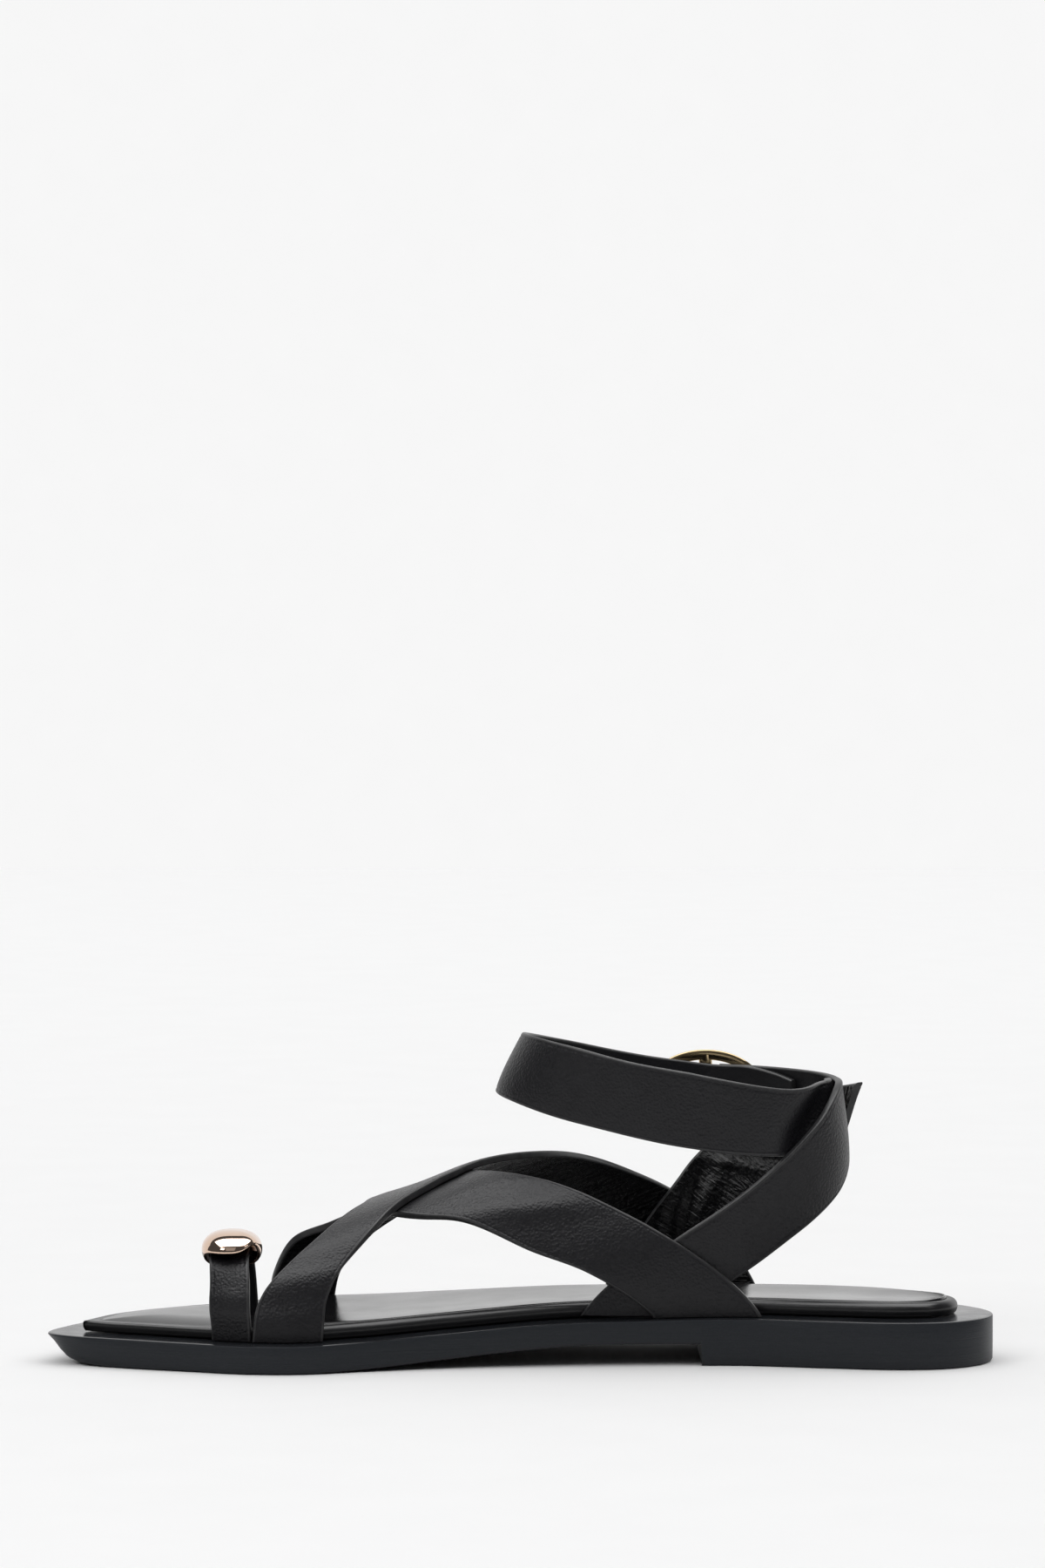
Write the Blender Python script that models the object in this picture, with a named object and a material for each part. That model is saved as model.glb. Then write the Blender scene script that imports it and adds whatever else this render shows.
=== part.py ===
"""Right foot toe loop sandal: low heeled outsole, padded footbed, sock, crossed straps, buckle."""
import math
from collections import namedtuple

import bmesh
import bpy
import numpy as np

MM = 0.001
AXIS_Y = (0.0, 1.0, 0.0)
AXIS_Z = (0.0, 0.0, 1.0)

# Sizes of the whole shoe, in millimetres
SOLE_LENGTH = 268.8
BALL_WIDTH = 97.0
INSTEP_HEIGHT = 60.0
HEEL_HEIGHT = 13.2
GAP = 0.3

# Outline and height of the outsole, one row per station from toe to heel.
# along is a share of the length, inner and outer are shares of the ball width,
# top is a share of the heel height.
Station = namedtuple("Station", "along inner outer top")
OUTSOLE = [
    Station(0.000, -0.195, -0.195, 0.644),
    Station(0.011, -0.262, -0.085, 0.644),
    Station(0.037, -0.308, 0.062, 0.636),
    Station(0.088, -0.360, 0.226, 0.621),
    Station(0.151, -0.427, 0.362, 0.606),
    Station(0.217, -0.493, 0.450, 0.598),
    Station(0.272, -0.497, 0.491, 0.598),
    Station(0.335, -0.437, 0.500, 0.629),
    Station(0.426, -0.365, 0.460, 0.750),
    Station(0.537, -0.323, 0.388, 0.917),
    Station(0.647, -0.301, 0.347, 0.977),
    Station(0.728, -0.296, 0.329, 1.000),
    Station(0.813, -0.349, 0.305, 1.000),
    Station(0.886, -0.392, 0.244, 1.000),
    Station(0.941, -0.375, 0.146, 1.000),
    Station(0.982, -0.287, 0.017, 1.000),
    Station(1.000, -0.133, -0.133, 1.000),
]
OUTLINE_STEPS = 44

# Underside of the outsole: toe spring, undercut toe and the hollow waist in front of the heel
TOE_SPRING = 1.9
TOE_SPRING_REACH = 20.0
TOE_UNDERCUT = 5.6
TOE_UNDERCUT_REACH = 30.0
UNDERCUT_AT_CORNER = 0.8
BOTTOM_EDGE = 0.8
HEEL_BREAST_X = 51.0
WAIST_STEPS = 14
WAIST_CUT_BELOW = 2.0
WaistPoint = namedtuple("WaistPoint", "x rise")
WAIST = [
    WaistPoint(-58.0, -0.2),
    WaistPoint(-46.0, 0.45),
    WaistPoint(-24.0, 2.3),
    WaistPoint(0.0, 4.6),
    WaistPoint(16.0, 5.8),
    WaistPoint(34.0, 6.1),
    WaistPoint(HEEL_BREAST_X, 6.0),
]

# Footbed and sock rims: inset from the piece's own outline and rise above its base, per ring
LEDGE = 10.0
SOCK_INSET = 3.2
RimRow = namedtuple("RimRow", "inset rise")
FOOTBED_RIM = [
    RimRow(1.3, 0.0),
    RimRow(0.3, 0.6),
    RimRow(0.0, 1.5),
    RimRow(0.2, 2.3),
    RimRow(0.9, 3.0),
    RimRow(2.2, 3.4),
]
SOCK_RIM = [RimRow(0.0, 0.0), RimRow(0.0, 0.4), RimRow(0.3, 0.6)]
FOOTBED_RISE = FOOTBED_RIM[-1].rise

# Straps: leather wall, and how a strap is divided along and across
STRAP_WALL = 2.2
STRAP_STEPS = 40
STRAP_ACROSS = 4

# Instep form: crest height as a share of the instep height, per share of the sole length
CrestPoint = namedtuple("CrestPoint", "along crest")
INSTEP = [
    CrestPoint(0.200, 0.450),
    CrestPoint(0.272, 0.560),
    CrestPoint(0.338, 0.650),
    CrestPoint(0.390, 0.725),
    CrestPoint(0.460, 0.842),
    CrestPoint(0.530, 0.905),
    CrestPoint(0.574, 0.937),
    CrestPoint(0.665, 1.006),
    CrestPoint(0.780, 1.060),
]
INSTEP_CORE_ALONG = 0.40
ARCH_SIDE_POWER = 0.60
ARCH_CREST_POWER = 0.80
STRAP_FOOT_SET = 9.6

# Instep straps: edges given by place along the shoe (mm) and angle over the foot
# (0 on the inner ledge, 180 on the outer ledge), with the lift off the form.
InstepRow = namedtuple("InstepRow", "front_x front_turn rear_x rear_turn front_lift rear_lift")
OVER_STRAP = [
    InstepRow(-75.2, 0.0, -56.2, 0.0, 0.2, 0.2),
    InstepRow(-73.6, 22.0, -54.9, 19.7, 0.4, 0.4),
    InstepRow(-68.3, 39.5, -50.3, 37.4, 1.0, 1.0),
    InstepRow(-57.0, 62.0, -41.0, 56.0, 1.95, 1.95),
    InstepRow(-46.0, 86.0, -27.5, 83.0, 1.95, 1.95),
    InstepRow(-31.0, 108.0, -10.0, 93.0, 1.95, 1.95),
    InstepRow(-12.0, 130.0, 13.0, 111.0, 1.95, 1.95),
    InstepRow(8.0, 149.0, 33.0, 134.0, 3.0, 3.0),
    InstepRow(24.0, 164.0, 52.0, 155.0, 5.4, 5.4),
    InstepRow(38.0, 180.0, 69.0, 180.0, 5.6, 5.6),
]
UNDER_STRAP = [
    InstepRow(-73.0, 180.0, -55.2, 180.0, 0.2, 0.2),
    InstepRow(-72.0, 157.0, -52.6, 161.0, 0.2, 0.2),
    InstepRow(-65.8, 132.0, -45.5, 142.0, 1.6, 0.0),
    InstepRow(-55.0, 118.0, -33.5, 124.0, 0.4, 0.0),
    InstepRow(-44.0, 97.0, -18.5, 104.0, 0.0, 0.0),
    InstepRow(-33.0, 67.0, -6.0, 78.0, 0.0, 0.0),
    InstepRow(-18.0, 46.0, 9.0, 58.0, 0.8, 0.8),
    InstepRow(0.0, 25.0, 26.0, 38.0, 2.5, 2.5),
    InstepRow(18.0, 13.0, 46.0, 19.0, 4.6, 4.6),
    InstepRow(37.0, 0.0, 69.0, 0.0, 3.4, 3.4),
]

# Ankle form: oval sections stacked by height, in mm
AnkleSection = namedtuple("AnkleSection", "z front middle back half_width")
ANKLE_CENTRE_X = 48.0
ANKLE_CENTRE_Y = 3.2
ANKLE = [
    AnkleSection(10.0, -8.0, 28.0, 85.5, 25.3),
    AnkleSection(20.0, -8.0, 30.0, 86.2, 25.2),
    AnkleSection(35.0, -8.0, 40.0, 87.6, 25.0),
    AnkleSection(55.0, -7.0, ANKLE_CENTRE_X, 90.0, 25.5),
    AnkleSection(75.0, -5.0, ANKLE_CENTRE_X, 87.8, 27.0),
    AnkleSection(95.0, 4.0, ANKLE_CENTRE_X, 86.0, 28.0),
]

# Ankle straps: edges by turn round the ankle (0 front, 90 inner side, 180 back, 270 outer side)
# and height, with the lift off the form.
AnkleRow = namedtuple("AnkleRow", "low_turn low_z high_turn high_z low_lift high_lift")
BUCKLE_STRAP = [
    AnkleRow(107.0, 13.6, 72.0, 13.6, 0.0, 0.0),
    AnkleRow(115.6, 19.5, 84.8, 26.0, 0.0, 0.0),
    AnkleRow(125.8, 26.8, 95.0, 36.0, 0.0, 0.0),
    AnkleRow(136.2, 33.2, 109.1, 46.0, 0.0, 0.0),
    AnkleRow(149.0, 39.8, 124.5, 56.0, 0.6, 0.6),
    AnkleRow(163.8, 47.5, 143.0, 67.0, 1.95, 1.95),
    AnkleRow(182.0, 56.0, 166.0, 76.5, 1.95, 1.95),
    AnkleRow(204.0, 59.0, 191.0, 78.6, 1.95, 1.95),
    AnkleRow(234.0, 60.5, 227.0, 80.0, 2.5, 2.5),
    AnkleRow(256.0, 61.0, 256.0, 80.8, 2.5, 2.5),
]
ANKLE_STRAP = [
    AnkleRow(184.0, 60.0, 188.0, 78.5, 0.0, 0.0),
    AnkleRow(158.0, 59.2, 162.0, 78.3, 0.0, 0.0),
    AnkleRow(130.0, 58.2, 130.0, 77.6, 0.0, 0.0),
    AnkleRow(91.0, 61.0, 79.0, 84.2, 0.0, 0.0),
    AnkleRow(55.0, 67.8, 46.0, 89.3, 0.0, 0.0),
    AnkleRow(20.0, 73.2, 16.0, 91.2, 0.0, 0.0),
    AnkleRow(-14.0, 74.0, -13.0, 90.8, 0.0, 0.0),
    AnkleRow(-48.0, 69.0, -45.0, 88.0, 0.0, 0.0),
    AnkleRow(-80.0, 63.5, -79.0, 83.0, 0.0, 0.0),
    AnkleRow(-100.0, 62.0, -100.0, 80.8, 0.0, 0.0),
    AnkleRow(-116.0, 62.3, -116.0, 80.4, 0.0, 0.0),
    AnkleRow(-129.0, 63.6, -129.0, 78.8, 0.0, 0.0),
    AnkleRow(-140.0, 66.2, -140.0, 76.8, 0.0, 0.0),
]
OUTER_STRAP = [
    AnkleRow(254.3, 13.6, 277.0, 13.6, -1.5, -1.5),
    AnkleRow(249.9, 23.0, 276.0, 30.0, -3.0, -4.0),
    AnkleRow(246.4, 33.0, 272.0, 44.0, -3.0, -5.0),
    AnkleRow(238.0, 43.0, 265.0, 55.0, 0.0, -0.5),
    AnkleRow(225.6, 51.5, 248.0, 66.0, 3.8, 4.45),
    AnkleRow(211.0, 57.0, 227.0, 72.0, 4.0, 4.45),
    AnkleRow(194.0, 62.4, 190.0, 76.0, 3.6, 10.0),
]
ANKLE_STRAP_STEPS = 72
BUCKLE_STRAP_STEPS = 56

# Toe loop: a narrow strap bent over the big toe
TOE_LOOP_X = -82.8
TOE_LOOP_WIDTH = 10.9
TOE_LOOP_WALL = 1.8
TOE_LOOP_FAR_Y = -8.5
TOE_LOOP_SPAN = 28.0
TOE_LOOP_CREST = 30.6
TOE_LOOP_SKEW = 2.4
TOE_LOOP_LEAN = 1.8
TOE_LOOP_POWER = 0.62
TOE_LOOP_ROWS = 7
TOE_LOOP_STEPS = 30
SLOT_PLAY = 0.5

# Toe ornament: hollow pebble, half sizes of its outer shell; both ends curl under beside the strap
# and the lip is notched on the heel side. Spokes are counted from the heel end over the outer side.
PEBBLE_X = -81.9
PEBBLE_HALF_LENGTH = 8.6
PEBBLE_HALF_WIDTH = 12.5
PEBBLE_TOP = 38.0
PEBBLE_HEIGHT = 5.4
PEBBLE_END_DROP = 4.6
PEBBLE_END_SPOKES = (8.0, 172.0)
PEBBLE_END_REACH = 29.0
PEBBLE_END_CURL = 55.0
NOTCH_SPOKE = 318.0
NOTCH_REACH = 24.0
NOTCH_HEIGHT = 2.2
PEBBLE_WALL = 0.9
PEBBLE_FULLNESS = 0.6
PEBBLE_SQUARENESS = 0.8
PEBBLE_RINGS = 8
PEBBLE_SPOKES = 36

# Buckle: oval frame of flat wire with a centre bar and a prong
BUCKLE_X = 54.0
BUCKLE_Y = 35.7
BUCKLE_Z = 72.1
BUCKLE_HALF_LENGTH = 16.0
BUCKLE_HALF_HEIGHT = 11.0
BUCKLE_SECTION = 1.5
BUCKLE_FLAT = 0.9
BUCKLE_STEPS = 48
BUCKLE_SIDES = 10
BAR_RADIUS = 1.0
PRONG_RADIUS = 0.9
PRONG_OVERHANG = 1.5
EYE_START = -150.0
EYE_END = 90.0
EYE_STEPS = 14
PRONG_STEPS = 4


def smooth(knots, values, at):
    """Cubic through one table column, with slopes taken from the neighbouring rows."""
    knots = np.asarray(knots, float)
    values = np.asarray(values, float)
    slopes = np.gradient(values, knots)
    at = np.clip(np.asarray(at, float), knots[0], knots[-1])
    low = np.clip(np.searchsorted(knots, at, side="right") - 1, 0, len(knots) - 2)
    span = knots[low + 1] - knots[low]
    s = (at - knots[low]) / span
    rise = values[low + 1] - values[low]
    bend_low = slopes[low] * span - rise
    bend_high = rise - slopes[low + 1] * span
    return values[low] + s * rise + s * (1 - s) * ((1 - s) * bend_low + s * bend_high)


def column(table, name):
    """One named column of a table."""
    return np.array([getattr(row, name) for row in table])


def station_x(along):
    """Place along the shoe for a share of the sole length; the toe is at -X."""
    return (np.asarray(along) - 0.5) * SOLE_LENGTH


def sole_top(x):
    """Height of the outsole's upper face."""
    top = HEEL_HEIGHT * column(OUTSOLE, "top")
    return smooth(station_x(column(OUTSOLE, "along")), top, x)


def sole_edges(x):
    """Inner and outer edge of the outsole, taken in angle so that toe and heel come out round."""
    sweep = np.arccos(1.0 - 2.0 * column(OUTSOLE, "along"))
    at = np.arccos(np.clip(-2.0 * np.asarray(x) / SOLE_LENGTH, -1.0, 1.0))
    inner = smooth(sweep, column(OUTSOLE, "inner") * BALL_WIDTH, at)
    outer = smooth(sweep, column(OUTSOLE, "outer") * BALL_WIDTH, at)
    return inner, outer


def sole_outline(inset):
    """Closed loop of plan points, toe to heel on the inner side and back on the outer side."""
    sweep = np.linspace(0.0, math.pi, OUTLINE_STEPS + 1)
    x = -0.5 * SOLE_LENGTH * np.cos(sweep)
    inner, outer = sole_edges(x)
    there = np.column_stack([x, inner])
    back = np.column_stack([x, outer])[-2:0:-1]
    loop = np.vstack([there, back])
    along = np.roll(loop, -1, axis=0) - np.roll(loop, 1, axis=0)
    along /= np.linalg.norm(along, axis=1)[:, None]
    inward = np.column_stack([-along[:, 1], along[:, 0]])
    return loop + inward * np.broadcast_to(inset, len(loop))[:, None]


def new_object(name, vertices, faces, collection):
    """Mesh object in millimetres, with its faces turned outward."""
    mesh = bpy.data.meshes.new(name)
    mesh.from_pydata([tuple(float(c) * MM for c in v) for v in vertices], [], faces)
    work = bmesh.new()
    work.from_mesh(mesh)
    bmesh.ops.remove_doubles(work, verts=work.verts, dist=1e-7)
    bmesh.ops.triangulate(work, faces=work.faces)
    bmesh.ops.recalc_face_normals(work, faces=work.faces)
    work.to_mesh(mesh)
    work.free()
    part = bpy.data.objects.new(name, mesh)
    collection.objects.link(part)
    return part


def strip_faces(ring_count, ring_size):
    """Quads between successive closed rings."""
    faces = []
    for ring in range(ring_count - 1):
        for i in range(ring_size):
            j = (i + 1) % ring_size
            low = ring * ring_size
            high = low + ring_size
            faces.append((low + i, low + j, high + j, high + i))
    return faces


def rung_faces(offset, size):
    """Caps a sole ring with rungs from the inner side to the outer side."""
    faces = []
    for i in range(size // 2):
        a, b = i, i + 1
        c, d = (size - b) % size, (size - a) % size
        corners = []
        for corner in (a, b, c, d):
            if offset + corner not in corners:
                corners.append(offset + corner)
        faces.append(tuple(corners))
    return faces


def sole_layer(name, rings, collection):
    """Solid from stacked sole rings, capped below and above."""
    size = len(rings[0])
    faces = strip_faces(len(rings), size)
    faces += rung_faces(0, size)
    faces += rung_faces((len(rings) - 1) * size, size)
    return new_object(name, np.vstack(rings), faces, collection)


def boolean(part, other, operation):
    """Applies an exact Boolean of another object to a part."""
    modifier = part.modifiers.new(operation.lower(), "BOOLEAN")
    modifier.solver = "EXACT"
    modifier.operation = operation
    modifier.object = other
    depsgraph = bpy.context.evaluated_depsgraph_get()
    result = bpy.data.meshes.new_from_object(part.evaluated_get(depsgraph))
    part.modifiers.clear()
    part.data = result


def make_outsole(parts, cutters):
    """Outsole block with an undercut toe, hollowed at the waist by a cutter."""
    plan = sole_outline(0.0)
    from_toe = plan[:, 0] + 0.5 * SOLE_LENGTH
    undercut = TOE_UNDERCUT * np.clip(1.0 - from_toe / TOE_UNDERCUT_REACH, 0.0, 1.0) ** 2
    spring = TOE_SPRING * np.clip(1.0 - from_toe / TOE_SPRING_REACH, 0.0, 1.0) ** 2
    floor = sole_outline(undercut + BOTTOM_EDGE)
    corner = sole_outline(undercut * UNDERCUT_AT_CORNER)
    rings = [
        np.column_stack([floor, spring]),
        np.column_stack([corner, spring + BOTTOM_EDGE]),
        np.column_stack([plan, sole_top(plan[:, 0])]),
    ]
    outsole = sole_layer("outsole", rings, parts)
    x = np.linspace(WAIST[0].x, WAIST[-1].x, WAIST_STEPS + 1)
    rise = smooth(column(WAIST, "x"), column(WAIST, "rise"), x)
    below = [(HEEL_BREAST_X, -WAIST_CUT_BELOW), (WAIST[0].x, -WAIST_CUT_BELOW)]
    profile = list(zip(x, rise)) + below
    reach = BALL_WIDTH
    vertices = [(px, side, pz) for side in (-reach, reach) for px, pz in profile]
    size = len(profile)
    faces = strip_faces(2, size) + [tuple(range(size)), tuple(range(size, 2 * size))]
    waist = new_object("waist_cutter", vertices, faces, cutters)
    boolean(outsole, waist, "DIFFERENCE")
    return outsole


def rim_rings(base_inset, rim, base_rise):
    """Sole rings for a rounded rim that follows the outsole's upper face."""
    rings = []
    for row in rim:
        plan = sole_outline(base_inset + row.inset)
        rings.append(np.column_stack([plan, sole_top(plan[:, 0]) + base_rise + row.rise]))
    return rings


def instep_point(x, turn):
    """Point of the instep form at a place along the shoe and an angle over the foot."""
    inner, outer = sole_edges(x)
    inner = inner + STRAP_FOOT_SET
    outer = outer - STRAP_FOOT_SET
    foot = sole_top(x) + GAP
    crest = INSTEP_HEIGHT * smooth(station_x(column(INSTEP, "along")), column(INSTEP, "crest"), x)
    angle = np.radians(np.clip(turn, 0.0, 180.0))
    side = np.cos(angle)
    swing = np.sign(side) * np.abs(side) ** ARCH_SIDE_POWER
    y = 0.5 * (inner + outer) - 0.5 * (outer - inner) * swing
    z = foot + (crest - foot) * np.sin(angle) ** ARCH_CREST_POWER
    return np.array([x, y, z], float)


def ankle_point(turn, z):
    """Point of the ankle form at a turn round the leg and a height."""
    heights = column(ANKLE, "z")
    front = smooth(heights, column(ANKLE, "front"), z)
    middle = smooth(heights, column(ANKLE, "middle"), z)
    back = smooth(heights, column(ANKLE, "back"), z)
    half = smooth(heights, column(ANKLE, "half_width"), z)
    angle = math.radians(turn)
    reach = middle - front if math.cos(angle) > 0 else back - middle
    x = middle - reach * math.cos(angle)
    y = ANKLE_CENTRE_Y - half * math.sin(angle)
    return np.array([x, y, z], float)


def toe_point(offset, turn):
    """Point of the toe form: an arch from the inner ledge to the slot in the footbed."""
    angle = math.radians(turn)
    side = math.cos(angle)
    aside = TOE_LOOP_LEAN * max(side, 0.0) ** 2 + TOE_LOOP_SKEW * (turn / 180.0) ** 2
    x = TOE_LOOP_X + offset + aside
    foot = float(sole_top(x)) + GAP
    near = float(sole_edges(TOE_LOOP_X + offset)[0]) + STRAP_FOOT_SET
    half = 0.5 * (TOE_LOOP_FAR_Y - near)
    y = near + half - half * math.copysign(abs(side) ** TOE_LOOP_POWER, side)
    z = foot + (TOE_LOOP_CREST - foot) * math.sin(angle) ** TOE_LOOP_POWER
    return np.array([x, y, z])


def band(name, rows, point, core, steps, wall, collection):
    """Strap of even wall laid on a form round a core point; a row gives both edges on the form."""
    table = np.array(rows, float)
    index = np.arange(len(table))
    at = np.linspace(0.0, len(table) - 1.0, steps + 1)
    edges = np.column_stack([smooth(index, table[:, c], at) for c in range(table.shape[1])])
    share = np.linspace(0.0, 1.0, STRAP_ACROSS + 1)
    inside = np.zeros((steps + 1, STRAP_ACROSS + 1, 3))
    for i, (a, b, c, d) in enumerate(edges[:, :4]):
        for k, s in enumerate(share):
            inside[i, k] = point(a + (c - a) * s, b + (d - b) * s)
    along = np.gradient(inside, axis=0)
    across = np.gradient(inside, axis=1)
    outward = np.cross(along, across)
    outward /= np.linalg.norm(outward, axis=2)[:, :, None]
    middle = (steps // 2, STRAP_ACROSS // 2)
    if np.dot(outward[middle], inside[middle] - np.array(core)) < 0:
        outward = -outward
    lift = edges[:, 4:5] + (edges[:, 5:6] - edges[:, 4:5]) * share
    inside = inside + outward * lift[:, :, None]
    outside = inside + outward * wall
    for face in (inside, outside):
        for end in (0, -1):
            foot = inside[end, :, 2].min()
            face[end, :, 2] = np.maximum(face[end, :, 2], foot)
    rings = np.concatenate([inside, outside[:, ::-1]], axis=1)
    size = rings.shape[1]
    faces = strip_faces(steps + 1, size)
    for start in (0, steps * size):
        for k in range(STRAP_ACROSS):
            quad = (k, k + 1, size - 2 - k, size - 1 - k)
            faces.append(tuple(start + q for q in quad))
    return new_object(name, rings.reshape(-1, 3), faces, collection)


def make_upper(parts, cutters):
    """Five strap lengths joined where they cross."""
    instep_core = (station_x(INSTEP_CORE_ALONG), 0.0, 0.0)
    ankle_core = (ANKLE_CENTRE_X, ANKLE_CENTRE_Y, ANKLE[-1].z)
    upper = band("upper", UNDER_STRAP, instep_point, instep_core, STRAP_STEPS, STRAP_WALL, parts)
    over = band("over_strap", OVER_STRAP, instep_point, instep_core, STRAP_STEPS, STRAP_WALL, cutters)
    buckled = band(
        "buckle_strap", BUCKLE_STRAP, ankle_point, ankle_core, BUCKLE_STRAP_STEPS, STRAP_WALL, cutters
    )
    ankle = band(
        "ankle_strap", ANKLE_STRAP, ankle_point, ankle_core, ANKLE_STRAP_STEPS, STRAP_WALL, cutters
    )
    outer = band("outer_strap", OUTER_STRAP, ankle_point, ankle_core, STRAP_STEPS, STRAP_WALL, cutters)
    for strap in (over, buckled, ankle, outer):
        boolean(upper, strap, "UNION")
    return upper


def block(name, low, high, collection):
    """Box between two corners."""
    plan = [(low[0], low[1]), (high[0], low[1]), (high[0], high[1]), (low[0], high[1])]
    corners = [(x, y, z) for z in (low[2], high[2]) for x, y in plan]
    faces = strip_faces(2, 4) + [(0, 1, 2, 3), (4, 5, 6, 7)]
    return new_object(name, corners, faces, collection)


def make_toe_loop(parts, cutters):
    """Toe loop, and the slot its far leg needs through the sock and the footbed."""
    half = 0.5 * TOE_LOOP_WIDTH
    turns = np.linspace(0.0, 180.0, TOE_LOOP_ROWS)
    rows = [InstepRow(-half, turn, half, turn, 0.0, 0.0) for turn in turns]
    core = (TOE_LOOP_X, TOE_LOOP_FAR_Y - 0.5 * TOE_LOOP_SPAN, HEEL_HEIGHT)
    loop = band("toe_loop", rows, toe_point, core, TOE_LOOP_STEPS, TOE_LOOP_WALL, parts)
    x = TOE_LOOP_X + TOE_LOOP_SKEW
    low = (x - half - SLOT_PLAY, TOE_LOOP_FAR_Y - SLOT_PLAY, 0.0)
    high = (x + half + SLOT_PLAY, TOE_LOOP_FAR_Y + TOE_LOOP_WALL + SLOT_PLAY, TOE_LOOP_CREST)
    slot = block("toe_slot_cutter", low, high, cutters)
    for name in ("footbed", "sock"):
        boolean(bpy.data.objects[name], slot, "DIFFERENCE")
    return loop


def pebble_ring(share, inset):
    """Ring of the pebble's shell at a share of the way from its lip to its top."""
    degrees = np.linspace(0.0, 360.0, PEBBLE_SPOKES, endpoint=False)
    spokes = np.radians(degrees)
    ends = sum(np.exp(-(((degrees - spoke + 180.0) % 360.0 - 180.0) / PEBBLE_END_REACH) ** 2)
               for spoke in PEBBLE_END_SPOKES)
    notch = NOTCH_HEIGHT * np.exp(-(((degrees - NOTCH_SPOKE) / NOTCH_REACH) ** 2))
    curl = math.radians(PEBBLE_END_CURL)
    climb = 0.5 * math.pi * share - curl * ends * (1.0 - share)
    reach = np.cos(climb) ** PEBBLE_FULLNESS
    side, depth = np.cos(spokes), np.sin(spokes)
    x = (PEBBLE_HALF_LENGTH - inset) * reach * np.sign(side) * np.abs(side) ** PEBBLE_SQUARENESS
    y = (PEBBLE_HALF_WIDTH - inset) * reach * np.sign(depth) * np.abs(depth) ** PEBBLE_SQUARENESS
    rise = np.where(climb > 0, PEBBLE_HEIGHT - inset, PEBBLE_END_DROP / math.sin(curl)) * np.sin(climb)
    z = PEBBLE_TOP - PEBBLE_HEIGHT + rise + notch * (1.0 - share) ** 2
    middle_y = TOE_LOOP_FAR_Y - 0.5 * TOE_LOOP_SPAN
    return np.column_stack([PEBBLE_X + x, middle_y + y, z])


def make_ornament(parts):
    """Hollow pebble over the crest of the toe loop."""
    shares = np.linspace(0.0, 1.0, PEBBLE_RINGS + 1)[:-1]
    rings = [pebble_ring(share, 0.0) for share in shares]
    rings += [pebble_ring(share, PEBBLE_WALL) for share in shares[::-1]]
    size = PEBBLE_SPOKES
    inner_first = PEBBLE_RINGS * size
    vertices = np.vstack(rings)
    outer_shell = strip_faces(PEBBLE_RINGS, size)
    inner_shell = [tuple(inner_first + i for i in face) for face in strip_faces(PEBBLE_RINGS, size)]
    top = tuple((PEBBLE_RINGS - 1) * size + i for i in range(size))
    under = tuple(inner_first + i for i in range(size))
    rim = []
    for i in range(size):
        j = (i + 1) % size
        inner_rim = inner_first + (PEBBLE_RINGS - 1) * size
        rim.append((i, j, inner_rim + j, inner_rim + i))
    return new_object("toe_ornament", vertices, outer_shell + inner_shell + rim + [top, under], parts)


def rod(name, path, plane, radius, flat, closed, collection):
    """Bar swept along a path in a plane: half width in the plane, and half thickness across it."""
    path = np.array(path, float)
    count = len(path)
    if closed:
        along = np.roll(path, -1, axis=0) - np.roll(path, 1, axis=0)
    else:
        along = np.gradient(path, axis=0)
    along /= np.linalg.norm(along, axis=1)[:, None]
    plane = np.array(plane)
    aside = np.cross(along, plane)
    sides = np.linspace(0.0, 2.0 * math.pi, BUCKLE_SIDES, endpoint=False)
    rings = [p + np.outer(flat * np.cos(sides), plane) + np.outer(radius * np.sin(sides), a)
             for p, a in zip(path, aside)]
    if closed:
        rings.append(rings[0])
    faces = strip_faces(len(rings), BUCKLE_SIDES)
    if not closed:
        last = (count - 1) * BUCKLE_SIDES
        faces += [tuple(range(BUCKLE_SIDES)), tuple(range(last, last + BUCKLE_SIDES))]
    return new_object(name, np.vstack(rings), faces, collection)


def make_buckle(parts, cutters):
    """Oval frame with a centre bar, and the prong that hangs on the bar."""
    turns = np.linspace(0.0, 2.0 * math.pi, BUCKLE_STEPS, endpoint=False)
    oval = np.column_stack([
        BUCKLE_X + BUCKLE_HALF_LENGTH * np.cos(turns),
        np.full(BUCKLE_STEPS, BUCKLE_Y),
        BUCKLE_Z + BUCKLE_HALF_HEIGHT * np.sin(turns),
    ])
    frame = rod("buckle_frame", oval, AXIS_Y, BUCKLE_SECTION, BUCKLE_FLAT, True, parts)
    half = BUCKLE_HALF_HEIGHT
    upright = [(BUCKLE_X, BUCKLE_Y, BUCKLE_Z + z) for z in (-half, 0.0, half)]
    bar = rod("buckle_bar", upright, AXIS_Y, BAR_RADIUS, BAR_RADIUS, False, cutters)
    boolean(frame, bar, "UNION")
    eye = BAR_RADIUS + GAP + PRONG_RADIUS
    tip_x = BUCKLE_X - BUCKLE_HALF_LENGTH - PRONG_OVERHANG
    tip_y = BUCKLE_Y + BUCKLE_FLAT + GAP + PRONG_RADIUS
    curl = np.radians(np.linspace(EYE_START, EYE_END, EYE_STEPS))
    path = [(BUCKLE_X + eye * math.cos(t), BUCKLE_Y + eye * math.sin(t), BUCKLE_Z) for t in curl]
    shaft_x = np.linspace(BUCKLE_X, tip_x, PRONG_STEPS + 1)[1:]
    shaft_y = np.linspace(BUCKLE_Y + eye, tip_y, PRONG_STEPS + 1)[1:]
    path += [(x, y, BUCKLE_Z) for x, y in zip(shaft_x, shaft_y)]
    prong = rod("buckle_prong", path, AXIS_Z, PRONG_RADIUS, PRONG_RADIUS, False, parts)
    return frame, prong


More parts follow.
